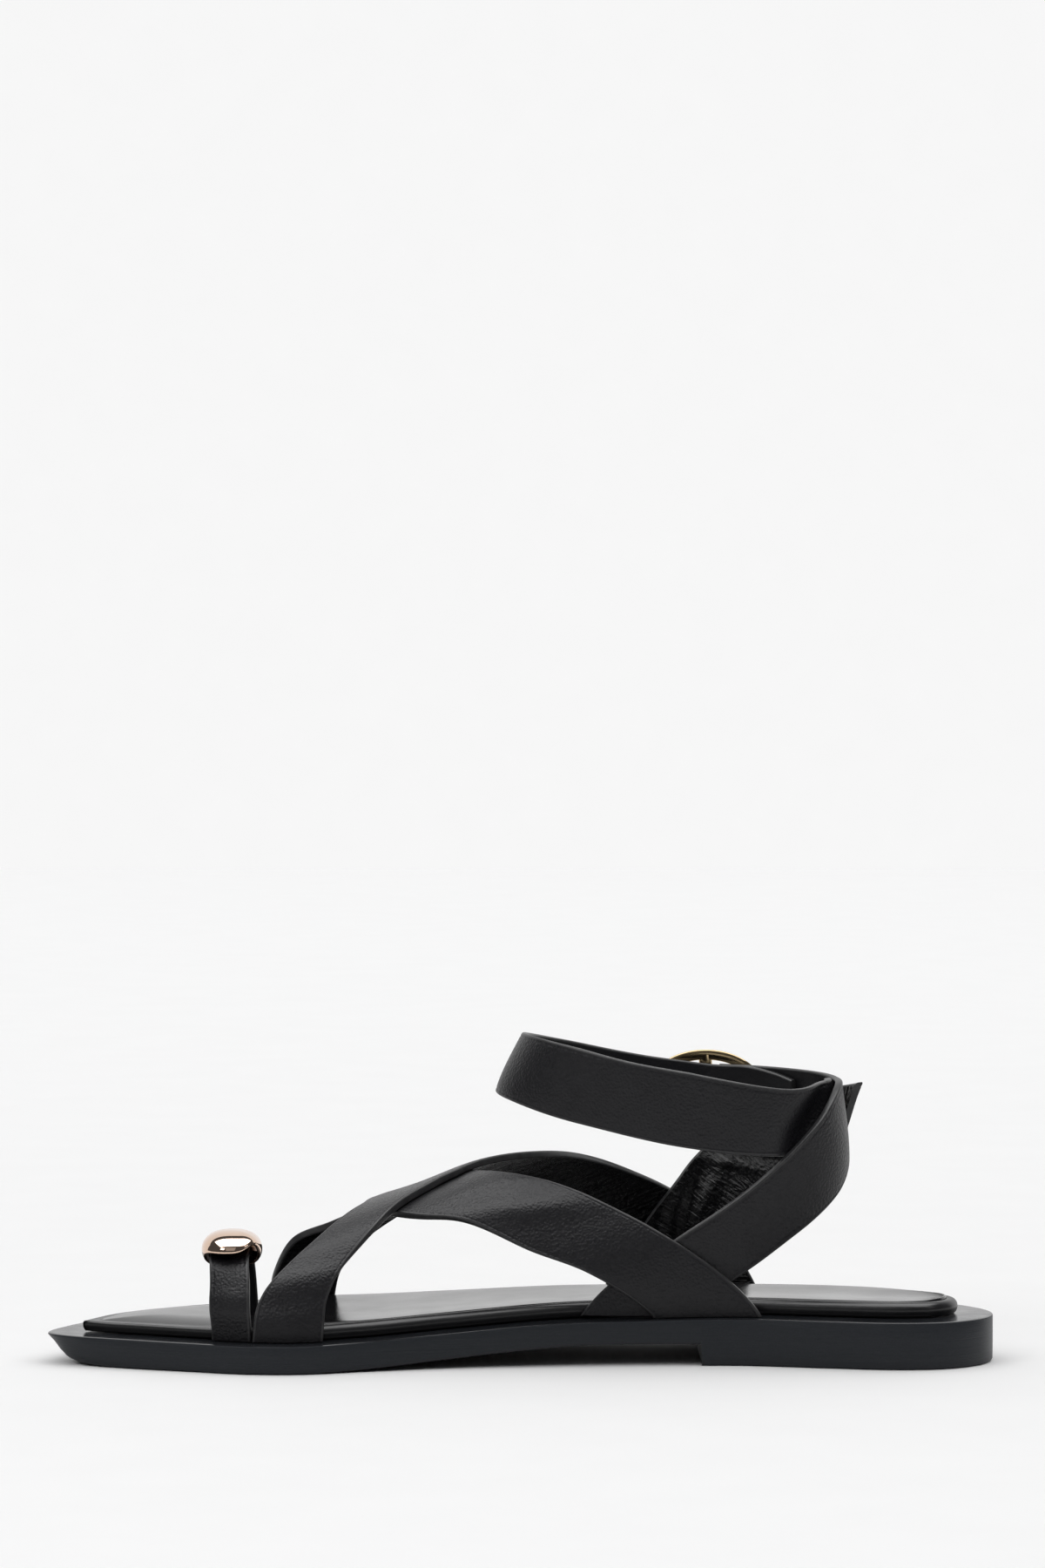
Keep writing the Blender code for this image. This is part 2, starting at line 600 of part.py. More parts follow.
# Base colour, metallic share and roughness of each piece
Finish = namedtuple("Finish", "colour metallic roughness")
BLACK_LEATHER = Finish((0.025, 0.024, 0.026), 0.0, 0.5)
GLOSSY_LEATHER = Finish((0.012, 0.012, 0.014), 0.0, 0.25)
SANDED_RUBBER = Finish((0.024, 0.030, 0.033), 0.0, 0.55)
ROSE_GOLD = Finish((0.80, 0.52, 0.36), 1.0, 0.12)
PALE_GOLD = Finish((0.83, 0.66, 0.38), 1.0, 0.18)
FINISHES = {
    "outsole": SANDED_RUBBER,
    "footbed": BLACK_LEATHER,
    "sock": GLOSSY_LEATHER,
    "upper": BLACK_LEATHER,
    "toe_loop": BLACK_LEATHER,
    "toe_ornament": ROSE_GOLD,
    "buckle_frame": PALE_GOLD,
    "buckle_prong": PALE_GOLD,
}


def paint(part):
    """Gives a piece its own material."""
    finish = FINISHES[part.name]
    material = bpy.data.materials.new(part.name)
    material.use_nodes = True
    shader = material.node_tree.nodes["Principled BSDF"]
    shader.inputs["Base Color"].default_value = (*finish.colour, 1.0)
    shader.inputs["Metallic"].default_value = finish.metallic
    shader.inputs["Roughness"].default_value = finish.roughness
    part.data.materials.clear()
    part.data.materials.append(material)


def main():
    """Clears the scene and builds every piece."""
    for item in list(bpy.data.objects):
        bpy.data.objects.remove(item, do_unlink=True)
    parts = bpy.data.collections.new("toe_loop_sandal")
    cutters = bpy.data.collections.new("cutters")
    bpy.context.scene.collection.children.link(parts)
    bpy.context.scene.collection.children.link(cutters)
    make_outsole(parts, cutters)
    sole_layer("footbed", rim_rings(LEDGE, FOOTBED_RIM, GAP), parts)
    sole_layer("sock", rim_rings(LEDGE + SOCK_INSET, SOCK_RIM, FOOTBED_RISE + 2 * GAP), parts)
    make_upper(parts, cutters)
    make_toe_loop(parts, cutters)
    make_ornament(parts)
    make_buckle(parts, cutters)
    for part in parts.objects:
        paint(part)
    for cutter in cutters.objects:
        cutter.hide_render = True
        cutter.display_type = "WIRE"


main()
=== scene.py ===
import math
from collections import namedtuple

import bmesh
import bpy
import numpy as np
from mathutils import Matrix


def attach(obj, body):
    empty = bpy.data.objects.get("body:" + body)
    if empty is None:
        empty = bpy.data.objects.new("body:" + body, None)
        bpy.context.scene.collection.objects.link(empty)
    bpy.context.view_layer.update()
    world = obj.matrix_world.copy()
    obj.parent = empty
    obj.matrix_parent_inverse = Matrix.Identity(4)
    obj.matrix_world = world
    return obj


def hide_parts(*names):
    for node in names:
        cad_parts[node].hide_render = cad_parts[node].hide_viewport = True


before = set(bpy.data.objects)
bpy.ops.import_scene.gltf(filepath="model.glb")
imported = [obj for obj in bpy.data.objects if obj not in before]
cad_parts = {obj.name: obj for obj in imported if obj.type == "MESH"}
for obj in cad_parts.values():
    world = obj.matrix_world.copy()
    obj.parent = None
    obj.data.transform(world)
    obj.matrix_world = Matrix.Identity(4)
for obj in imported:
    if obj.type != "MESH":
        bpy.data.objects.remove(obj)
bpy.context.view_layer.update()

# Studio: the shoe stands on a pale floor in front of a lit white backdrop, seen from its inner side by
# a long lens a little above the ankle strap. A wide ceiling lights it all, a smaller panel overhead is
# what leather and metal mirror, and the floor glows towards the backdrop so that no line parts them.
camera_place, camera_dip = (0.0004, -1.690, 0.2175), 1.83
picture_height_px, lens_px, film_size = 1800.0, 6778.0, 36.0
camera = bpy.data.objects.new("camera", bpy.data.cameras.new("camera"))
camera.location = camera_place
camera.rotation_euler = (math.radians(90.0 - camera_dip), 0.0, 0.0)
camera.data.sensor_width = film_size
camera.data.lens = film_size * lens_px / picture_height_px
camera.data.clip_end = 40.0
bpy.context.scene.collection.objects.link(camera)
bpy.context.scene.camera = camera
bpy.context.scene.view_settings.view_transform = "Standard"

world = bpy.data.worlds.new("studio")
world.use_nodes = True
world.node_tree.nodes["Background"].inputs["Color"].default_value = (0.08, 0.08, 0.082, 1.0)
bpy.context.scene.world = world


def soft_light(name, place, aim, size, power):
    """Square studio light at a place, turned towards a point."""
    lamp = bpy.data.lights.new(name, "AREA")
    lamp.size = size
    lamp.energy = power
    holder = bpy.data.objects.new(name, lamp)
    holder.location = place
    toward = [a - p for a, p in zip(aim, place)]
    heading = math.atan2(toward[1], toward[0])
    drop = math.atan2(math.hypot(toward[0], toward[1]), -toward[2])
    holder.rotation_euler = (drop, 0.0, heading - math.pi / 2)
    bpy.context.scene.collection.objects.link(holder)
    return holder


shoe_middle = (0.0, 0.0, 0.04)
panel_depth = 4.0
ceiling_light = soft_light("ceiling_light", (0.0, 2.2, 3.6), (0.0, 2.2, 0.0), size=12.0, power=573.0)
ceiling_light.visible_glossy = False
overhead_panel = soft_light("overhead_panel", (-0.15, -0.1, 2.5), (-0.15, -0.1, 0.0), size=2.8, power=130.0)
overhead_panel.data.shape = "RECTANGLE"
overhead_panel.data.size_y = panel_depth
overhead_panel.visible_diffuse = False
soft_light("left_light", (-0.9, -1.1, 0.9), shoe_middle, size=0.5, power=2.2)
soft_light("right_light", (1.6, -0.9, 1.1), shoe_middle, size=0.6, power=1.2)
soft_light("front_fill", (-0.2, -2.6, 1.7), shoe_middle, size=1.6, power=2.4)


def new_material(name, colour, roughness, specular=0.5, metallic=0.0):
    """Principled material with its plain values set on the shader itself."""
    material = bpy.data.materials.new(name)
    material.use_nodes = True
    shader = material.node_tree.nodes["Principled BSDF"]
    shader.inputs["Base Color"].default_value = (*colour, 1.0)
    shader.inputs["Roughness"].default_value = roughness
    shader.inputs["Specular IOR Level"].default_value = specular
    shader.inputs["Metallic"].default_value = metallic
    return material


def add_node(material, kind, **values):
    """Adds a node and sets its inputs (by name) and its own properties."""
    node = material.node_tree.nodes.new(kind)
    for key, value in values.items():
        if hasattr(node, key):
            setattr(node, key, value)
        else:
            node.inputs[key.replace("_", " ")].default_value = value
    return node


def join(material, start, end):
    """Links one socket to another."""
    material.node_tree.links.new(start, end)


def principled(material):
    """The material's shader node."""
    return material.node_tree.nodes["Principled BSDF"]


def mottle(material, scale, low, high, socket, detail=4.0):
    """Drives a socket of the shader between two values or colours with soft noise in real size."""
    place = add_node(material, "ShaderNodeTexCoord")
    noise = add_node(material, "ShaderNodeTexNoise", Scale=scale, Detail=detail)
    ramp = add_node(material, "ShaderNodeValToRGB")
    ramp.color_ramp.elements[0].position = 0.3
    ramp.color_ramp.elements[1].position = 0.7
    for element, value in zip(ramp.color_ramp.elements, (low, high)):
        element.color = (*value, 1.0) if isinstance(value, tuple) else (value, value, value, 1.0)
    join(material, place.outputs["Object"], noise.inputs["Vector"])
    join(material, noise.outputs["Fac"], ramp.inputs["Fac"])
    join(material, ramp.outputs["Color"], principled(material).inputs[socket])


def stage_sheet(name, corners, paint):
    """Flat sheet of the studio, which isn't part of the shoe."""
    mesh = bpy.data.meshes.new(name)
    mesh.from_pydata(corners, [], [(0, 1, 2, 3)])
    sheet = bpy.data.objects.new(name, mesh)
    sheet.data.materials.append(paint)
    bpy.context.scene.collection.objects.link(sheet)


floor_half, floor_level = 16.0, -0.0001
backdrop_half, backdrop_y, backdrop_top = 6.0, 3.0, 3.0
white_glow = (1.0, 1.0, 1.0, 1.0)
floor_paint = new_material("floor_paint", (0.85, 0.85, 0.85), roughness=0.9, specular=0.0)
mottle(floor_paint, 30.0, (0.845, 0.845, 0.845), (0.855, 0.855, 0.855), "Base Color")
floor_glow_start, floor_glow = 0.3, 0.068
floor_place = add_node(floor_paint, "ShaderNodeTexCoord")
floor_split = add_node(floor_paint, "ShaderNodeSeparateXYZ")
floor_fade = add_node(
    floor_paint, "ShaderNodeMapRange", From_Min=floor_glow_start, From_Max=backdrop_y, To_Max=floor_glow
)
principled(floor_paint).inputs["Emission Color"].default_value = white_glow
join(floor_paint, floor_place.outputs["Object"], floor_split.inputs["Vector"])
join(floor_paint, floor_split.outputs["Y"], floor_fade.inputs["Value"])
join(floor_paint, floor_fade.outputs["Result"], principled(floor_paint).inputs["Emission Strength"])
floor_corners = [
    (x * floor_half, y * floor_half, floor_level) for x, y in ((-1, -1), (1, -1), (1, 1), (-1, 1))
]
stage_sheet("floor", floor_corners, floor_paint)
backdrop_glow = 0.832
backdrop_paint = new_material("backdrop_paint", (0.12, 0.12, 0.12), roughness=0.9, specular=0.0)
mottle(backdrop_paint, 30.0, (0.115, 0.115, 0.115), (0.125, 0.125, 0.125), "Base Color")
principled(backdrop_paint).inputs["Emission Color"].default_value = white_glow
principled(backdrop_paint).inputs["Emission Strength"].default_value = backdrop_glow
backdrop_corners = [
    (x * backdrop_half, backdrop_y, z)
    for x, z in ((-1, floor_level), (1, floor_level), (1, backdrop_top), (-1, backdrop_top))
]
stage_sheet("backdrop", backdrop_corners, backdrop_paint)

# Outsole: one block of dark moulded rubber with a sanded side and a smooth ledge on top, undercut
# at the toe, hollowed under the waist and left flat under the ball and the heel.
MM = 0.001
sole_length = 268.8
ball_width = 97.0
heel_height = 13.2
Station = namedtuple("Station", "along inner outer top")
outsole_stations = [
    Station(0.000, -0.195, -0.195, 0.644),
    Station(0.011, -0.262, -0.085, 0.644),
    Station(0.037, -0.308, 0.062, 0.636),
    Station(0.088, -0.360, 0.226, 0.621),
    Station(0.151, -0.427, 0.362, 0.606),
    Station(0.217, -0.493, 0.450, 0.598),
    Station(0.272, -0.497, 0.491, 0.598),
    Station(0.335, -0.437, 0.500, 0.629),
    Station(0.426, -0.365, 0.460, 0.750),
    Station(0.537, -0.323, 0.388, 0.917),
    Station(0.647, -0.301, 0.347, 0.977),
    Station(0.728, -0.296, 0.329, 1.000),
    Station(0.813, -0.349, 0.305, 1.000),
    Station(0.886, -0.392, 0.244, 1.000),
    Station(0.941, -0.375, 0.146, 1.000),
    Station(0.982, -0.287, 0.017, 1.000),
    Station(1.000, -0.133, -0.133, 1.000),
]
toe_spring, toe_spring_reach = 1.9, 20.0
toe_undercut, toe_undercut_reach = 5.6, 30.0
heel_breast_x, heel_breast_half = 51.0, 0.15
outline_steps = 181
WaistPoint = namedtuple("WaistPoint", "x rise")
waist_points = [
    WaistPoint(-58.0, 0.0),
    WaistPoint(-46.0, 0.45),
    WaistPoint(-24.0, 2.3),
    WaistPoint(0.0, 4.6),
    WaistPoint(16.0, 5.8),
    WaistPoint(34.0, 6.1),
    WaistPoint(heel_breast_x, 6.0),
]


def smooth(knots, values, at):
    """Cubic through one table column, with slopes taken from the neighbouring rows."""
    knots = np.asarray(knots, float)
    values = np.asarray(values, float)
    slopes = np.gradient(values, knots)
    at = np.clip(np.asarray(at, float), knots[0], knots[-1])
    low = np.clip(np.searchsorted(knots, at, side="right") - 1, 0, len(knots) - 2)
    span = knots[low + 1] - knots[low]
    s = (at - knots[low]) / span
    rise = values[low + 1] - values[low]
    bend_low = slopes[low] * span - rise
    bend_high = rise - slopes[low + 1] * span
    return values[low] + s * rise + s * (1 - s) * ((1 - s) * bend_low + s * bend_high)


def column(table, name):
    """One named column of a table."""
    return np.array([getattr(row, name) for row in table])


def station_x(along):
    """Place along the shoe for a share of the sole length; the toe is at -X."""
    return (np.asarray(along) - 0.5) * sole_length


def sole_top(x):
    """Height of the outsole's upper face."""
    places = station_x(column(outsole_stations, "along"))
    return smooth(places, heel_height * column(outsole_stations, "top"), x)


def sole_edges(x):
    """Inner and outer edge of the outsole, taken in angle so that toe and heel come out round."""
    sweep = np.arccos(1.0 - 2.0 * column(outsole_stations, "along"))
    at = np.arccos(np.clip(-2.0 * np.asarray(x) / sole_length, -1.0, 1.0))
    inner = smooth(sweep, column(outsole_stations, "inner") * ball_width, at)
    outer = smooth(sweep, column(outsole_stations, "outer") * ball_width, at)
    return inner, outer


def sole_stations():
    """Places along the shoe for the outline, close together at toe and heel and at the heel breast."""
    even = -0.5 * sole_length * np.cos(np.linspace(0.0, math.pi, outline_steps))
    breast = [heel_breast_x - heel_breast_half, heel_breast_x + heel_breast_half]
    return np.unique(np.concatenate([even, breast]))


def sole_outline(inset):
    """Closed loop of plan points, toe to heel on the inner side and back on the outer side."""
    x = sole_stations()
    inner, outer = sole_edges(x)
    there = np.column_stack([x, inner])
    back = np.column_stack([x, outer])[-2:0:-1]
    loop = np.vstack([there, back])
    along = np.roll(loop, -1, axis=0) - np.roll(loop, 1, axis=0)
    along /= np.linalg.norm(along, axis=1)[:, None]
    inward = np.column_stack([-along[:, 1], along[:, 0]])
    return loop + inward * np.broadcast_to(inset, len(loop))[:, None]


def ring_faces(ring_count, ring_size):
    """Quads between successive closed rings."""
    ring, i = np.meshgrid(np.arange(ring_count - 1), np.arange(ring_size), indexing="ij")
    j = (i + 1) % ring_size
    low = ring * ring_size
    quads = np.stack([low + i, low + j, low + ring_size + j, low + ring_size + i], axis=-1)
    return [tuple(int(v) for v in quad) for quad in quads.reshape(-1, 4)]


def new_piece(name, vertices, faces, smooth_angle=40.0):
    """Mesh piece from millimetres, shaded smooth except over sharp edges."""
    mesh = bpy.data.meshes.new(name)
    mesh.from_pydata([tuple(v) for v in np.asarray(vertices, float) * MM], [], faces)
    mesh.validate()
    mesh.shade_smooth()
    mesh.set_sharp_from_angle(angle=math.radians(smooth_angle))
    piece = bpy.data.objects.new(name, mesh)
    bpy.context.scene.collection.objects.link(piece)
    return piece


def face_outward(piece):
    """Turns all faces of a closed piece outward."""
    work = bmesh.new()
    work.from_mesh(piece.data)
    bmesh.ops.recalc_face_normals(work, faces=work.faces)
    work.to_mesh(piece.data)
    work.free()


def cap_faces(ring_start, ring_size, rungs_start, across):
    """Faces of a flat cap, whose rungs join a ring's inner side to its outer side."""
    half = ring_size // 2

    def corner(i, k):
        if i in (0, half) or k == 0:
            return ring_start + i
        if k == across:
            return ring_start + ring_size - i
        return rungs_start + (i - 1) * (across - 1) + k - 1

    quads = [
        (corner(i, k), corner(i + 1, k), corner(i + 1, k + 1), corner(i, k + 1))
        for i in range(half) for k in range(across)
    ]
    faces = [tuple(dict.fromkeys(quad)) for quad in quads]
    return [face for face in faces if len(face) > 2]


def capped_sole(name, rings, across, dish=None):
    """Piece from stacked sole rings, closed above and below with rungs from side to side."""
    size = len(rings[0])
    half = size // 2
    vertices = [np.vstack(rings)]
    faces = ring_faces(len(rings), size)
    rungs_start = len(rings) * size
    share = np.linspace(0.0, 1.0, across + 1)[1:-1]
    for ring, ring_start in ((rings[0], 0), (rings[-1], (len(rings) - 1) * size)):
        for i in range(1, half):
            a, b = ring[i], ring[size - i]
            rung = a + (b - a) * share[:, None]
            if dish is not None and ring_start:
                rung[:, 2] += dish(rung[:, 0], rung[:, 1], share)
            vertices.append(rung)
        faces += cap_faces(ring_start, size, rungs_start, across)
        rungs_start += (half - 1) * (across - 1)
    piece = new_piece(name, np.vstack(vertices), faces)
    face_outward(piece)
    return piece


outsole_plan = sole_outline(0.0)
from_toe = outsole_plan[:, 0] + 0.5 * sole_length
undercut = toe_undercut * np.clip(1.0 - from_toe / toe_undercut_reach, 0.0, 1.0) ** 2
underside = toe_spring * np.clip(1.0 - from_toe / toe_spring_reach, 0.0, 1.0) ** 2
hollow = smooth(column(waist_points, "x"), column(waist_points, "rise"), outsole_plan[:, 0])
in_waist = (outsole_plan[:, 0] > waist_points[0].x) & (outsole_plan[:, 0] < heel_breast_x)
underside = np.where(in_waist, hollow, underside)
outsole_top = sole_top(outsole_plan[:, 0])
OutsoleRow = namedtuple("OutsoleRow", "share rise inset under")
outsole_rows = [
    OutsoleRow(0.0, 0.0, 0.9, 1.0),
    OutsoleRow(0.0, 0.25, 0.35, 0.95),
    OutsoleRow(0.0, 0.7, 0.05, 0.86),
    OutsoleRow(0.3, 0.0, 0.0, 0.62),
    OutsoleRow(0.65, 0.0, 0.0, 0.31),
    OutsoleRow(1.0, -0.45, 0.0, 0.0),
    OutsoleRow(1.0, -0.12, 0.12, 0.0),
    OutsoleRow(1.0, 0.0, 0.45, 0.0),
    OutsoleRow(1.0, 0.0, 1.5, 0.0),
]
outsole_rings = []
for row in outsole_rows:
    plan = sole_outline(undercut * row.under + row.inset)
    height = underside + (outsole_top - underside) * row.share + row.rise
    outsole_rings.append(np.column_stack([plan, height]))
outsole = capped_sole("outsole_block", outsole_rings, across=10)
rubber = new_material("sanded_rubber", (0.0132, 0.0155, 0.0192), roughness=0.44, specular=0.28)
mottle(rubber, 2500.0, (0.0115, 0.0136, 0.0170), (0.0150, 0.0174, 0.0215), "Base Color")
rubber_place = add_node(rubber, "ShaderNodeTexCoord")
rubber_stretch = add_node(rubber, "ShaderNodeMapping")
rubber_stretch.inputs["Scale"].default_value = (40.0, 40.0, 2600.0)
sanding = add_node(rubber, "ShaderNodeTexNoise", Scale=1.0, Detail=3.0)
rubber_bump = add_node(rubber, "ShaderNodeBump", Strength=0.6, Distance=0.00015)
join(rubber, rubber_place.outputs["Object"], rubber_stretch.inputs["Vector"])
join(rubber, rubber_stretch.outputs["Vector"], sanding.inputs["Vector"])
join(rubber, sanding.outputs["Fac"], rubber_bump.inputs["Height"])
join(rubber, rubber_bump.outputs["Normal"], principled(rubber).inputs["Normal"])
moulded_rubber = new_material("moulded_rubber", (0.0135, 0.015, 0.018), roughness=0.2, specular=0.4)
mottle(moulded_rubber, 120.0, 0.16, 0.25, "Roughness")
for material in (rubber, moulded_rubber):
    outsole.data.materials.append(material)
level_enough = 0.9
for face in outsole.data.polygons:
    face.material_index = 1 if face.normal.z > level_enough else 0
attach(outsole, "root")
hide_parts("outsole")

# Footbed: a thin padded board wrapped in black leather and cemented on the outsole,
# with a soft rolled rim all round; the wrapping is tucked under at its lower edge.
gap = 0.3
ledge = 10.0
footbed_rise = 3.4
rim_turns = np.linspace(-64.0, 150.0, 25)
rim_middle, rim_tuck, rim_tuck_rise, rim_roll = 1.95, 1.5, 2.15, 2.2
toe_soft_start, toe_soft_end, toe_drop, toe_soft_reach = -58.0, -92.0, 1.25, 13.0


def toe_share(x):
    """How far the soft rounding of the toe has come in: none under the foot, all at the tip."""
    share = np.clip((np.asarray(x) - toe_soft_start) / (toe_soft_end - toe_soft_start), 0.0, 1.0)
    return share * share * (3.0 - 2.0 * share)


footbed_rings = []
for turn in np.radians(rim_turns):
    lower = turn < 0.0
    inset = (rim_tuck if lower else rim_roll) * (1.0 - math.cos(turn))
    rise = rim_middle + (rim_tuck_rise if lower else rim_roll) * math.sin(turn)
    plan = sole_outline(ledge + inset)
    drop = toe_drop * toe_share(plan[:, 0]) * (0.0 if lower else math.sin(turn) ** 2)
    footbed_rings.append(np.column_stack([plan, sole_top(plan[:, 0]) + gap + rise - drop]))
footbed = capped_sole("footbed_roll", footbed_rings, across=4)
rim_leather = new_material("rim_leather", (0.009, 0.009, 0.010), roughness=0.32)
mottle(rim_leather, 90.0, 0.28, 0.38, "Roughness")
rim_place = add_node(rim_leather, "ShaderNodeTexCoord")
rim_grain = add_node(rim_leather, "ShaderNodeTexVoronoi", Scale=1300.0, feature="SMOOTH_F1")
rim_bump = add_node(rim_leather, "ShaderNodeBump", Strength=0.15, Distance=0.0001)
join(rim_leather, rim_place.outputs["Object"], rim_grain.inputs["Vector"])
join(rim_leather, rim_grain.outputs["Distance"], rim_bump.inputs["Height"])
join(rim_leather, rim_bump.outputs["Normal"], principled(rim_leather).inputs["Normal"])
footbed.data.materials.append(rim_leather)
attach(footbed, "root")
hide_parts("footbed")

# Sock: the smooth glossy leather sheet glued on the footbed, with a cut edge just inside the roll
# that curls up a little at the heel and is rounded off into the roll at the toe.
sock_inset = 3.2
sock_thickness, sock_toe_thinning = 0.6, 0.5
heel_curl, heel_curl_start, heel_curl_reach = 0.5, 104.0, 16.0
sock_press, toe_dome, toe_tip_share = 0.25, 0.4, 0.6
SockWave = namedtuple("SockWave", "height along across")
sock_waves = [SockWave(0.08, 23.0, 31.0), SockWave(0.02, 9.0, -13.0)]
SockRow = namedtuple("SockRow", "inset share")
sock_rows = [
    SockRow(0.0, 0.0),
    SockRow(0.0, 0.45),
    SockRow(0.08, 0.75),
    SockRow(0.3, 0.95),
    SockRow(0.7, 1.0),
]


def sock_curl(x):
    """How far the sock's edge curls up towards the heel."""
    return heel_curl * np.clip((x - heel_curl_start) / heel_curl_reach, 0.0, 1.0) ** 2


def sock_lift(x):
    """Height of the sock's edge over the footbed: thin at the toe, curled up at the heel."""
    return sock_thickness - sock_toe_thinning * toe_share(x) + sock_curl(x)


def sock_dish(x, y, share):
    """Pressed middle of the sock, its slow waves and its dome at the toe, measured from its edge."""
    belly = np.sin(math.pi * share)
    pressed = -sock_press * belly ** 1.5 * (1.0 - toe_share(x))
    waves = sum(wave.height * np.sin(x / wave.along + y / wave.across) for wave in sock_waves)
    inner, outer = sole_edges(x)
    edge = np.minimum(share, 1.0 - share) * (outer - inner - 2.0 * (ledge + sock_inset))
    tip = x + 0.5 * sole_length - ledge - sock_inset
    near = np.clip(1.0 - np.minimum(edge, toe_tip_share * tip) / toe_soft_reach, 0.0, 1.0)
    dome = (toe_drop + toe_dome) * toe_share(x) * (1.0 - near ** 2)
    return pressed + waves * belly - sock_curl(x) * belly ** 0.4 + dome


sock_rings = []
for row in sock_rows:
    plan = sole_outline(ledge + sock_inset + row.inset)
    base = sole_top(plan[:, 0]) + 2 * gap + footbed_rise - toe_drop * toe_share(plan[:, 0])
    sock_rings.append(np.column_stack([plan, base + sock_lift(plan[:, 0]) * row.share]))
sock = capped_sole("sock_sheet", sock_rings, across=24, dish=sock_dish)
sock_leather = new_material("sock_leather", (0.008, 0.008, 0.009), roughness=0.18)
mottle(sock_leather, 60.0, 0.14, 0.21, "Roughness")
sock_place = add_node(sock_leather, "ShaderNodeTexCoord")
sock_grain = add_node(sock_leather, "ShaderNodeTexNoise", Scale=900.0, Detail=4.0)
sock_bump = add_node(sock_leather, "ShaderNodeBump", Strength=0.08, Distance=0.0001)
join(sock_leather, sock_place.outputs["Object"], sock_grain.inputs["Vector"])
join(sock_leather, sock_grain.outputs["Fac"], sock_bump.inputs["Height"])
join(sock_leather, sock_bump.outputs["Normal"], principled(sock_leather).inputs["Normal"])
sock.data.materials.append(sock_leather)
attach(sock, "root")
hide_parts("sock")

# Instep straps: two lined leather straps that cross over the foot. The under strap runs from the
# outer ball to the inner waist, the over strap from the inner ball to the outer waist on top of it.
instep_height = 60.0
strap_wall = 2.2
strap_foot_set = 9.6
arch_side_power, arch_crest_power = 0.60, 0.80
CrestPoint = namedtuple("CrestPoint", "along crest")
instep_crest = [
    CrestPoint(0.200, 0.450),
    CrestPoint(0.272, 0.560),
    CrestPoint(0.338, 0.650),
    CrestPoint(0.390, 0.725),
    CrestPoint(0.460, 0.842),
    CrestPoint(0.530, 0.905),
    CrestPoint(0.574, 0.937),
    CrestPoint(0.665, 1.006),
    CrestPoint(0.780, 1.060),
]
InstepRow = namedtuple("InstepRow", "front_x front_turn rear_x rear_turn front_lift rear_lift")
over_strap_rows = [
    InstepRow(-75.2, 0.0, -56.2, 0.0, 0.2, 0.2),
    InstepRow(-73.6, 22.0, -54.9, 19.7, 0.4, 0.4),
    InstepRow(-68.3, 39.5, -50.3, 37.4, 1.0, 1.0),
    InstepRow(-57.0, 62.0, -41.0, 56.0, 2.1, 2.1),
    InstepRow(-46.0, 86.0, -27.5, 83.0, 2.3, 2.3),
    InstepRow(-31.0, 108.0, -10.0, 93.0, 2.3, 2.3),
    InstepRow(-12.0, 130.0, 13.0, 111.0, 2.1, 2.1),
    InstepRow(8.0, 149.0, 33.0, 134.0, 3.0, 3.0),
    InstepRow(24.0, 164.0, 52.0, 155.0, 5.4, 5.4),
    InstepRow(38.0, 180.0, 69.0, 180.0, 5.6, 5.6),
]
under_strap_rows = [
    InstepRow(-73.0, 180.0, -55.2, 180.0, 0.2, 0.2),
    InstepRow(-72.0, 157.0, -52.6, 161.0, 0.2, 0.2),
    InstepRow(-65.8, 132.0, -45.5, 142.0, 1.6, 0.0),
    InstepRow(-55.0, 118.0, -33.5, 124.0, 0.4, 0.0),
    InstepRow(-44.0, 97.0, -18.5, 104.0, 0.0, 0.0),
    InstepRow(-33.0, 67.0, -6.0, 78.0, 0.0, 0.0),
    InstepRow(-18.0, 46.0, 9.0, 58.0, 0.8, 0.8),
    InstepRow(0.0, 25.0, 26.0, 38.0, 2.5, 2.5),
    InstepRow(18.0, 13.0, 46.0, 19.0, 4.6, 4.6),
    InstepRow(37.0, 0.0, 69.0, 0.0, 3.4, 3.4),
]


def instep_point(x, turn):
    """Points of the foot's instep at places along the shoe and angles over the foot."""
    inner, outer = sole_edges(x)
    inner = inner + strap_foot_set
    outer = outer - strap_foot_set
    foot = sole_top(x) + gap
    places = station_x(column(instep_crest, "along"))
    crest = instep_height * smooth(places, column(instep_crest, "crest"), x)
    angle = np.radians(np.clip(turn, 0.0, 180.0))
    side = np.cos(angle)
    swing = np.sign(side) * np.abs(side) ** arch_side_power
    y = 0.5 * (inner + outer) - 0.5 * (outer - inner) * swing
    z = foot + (crest - foot) * np.sin(angle) ** arch_crest_power
    return np.stack([x, y, z], axis=-1)


Crease = namedtuple("Crease", "along across reach breadth depth turn")
SlowWave = namedtuple("SlowWave", "height along across start")
slow_waves = [SlowWave(0.10, 8.3, 6.1, 0.0), SlowWave(0.08, 4.7, -9.0, 1.0)]
still_end = 8.0
edge_zone, edge_zone_share, narrowest_in_corners = 3.0, 0.42, 2.2
edge_line_at, edge_line_breadth, edge_line_depth = 1.3, 0.22, 0.10
skin_steps = 20


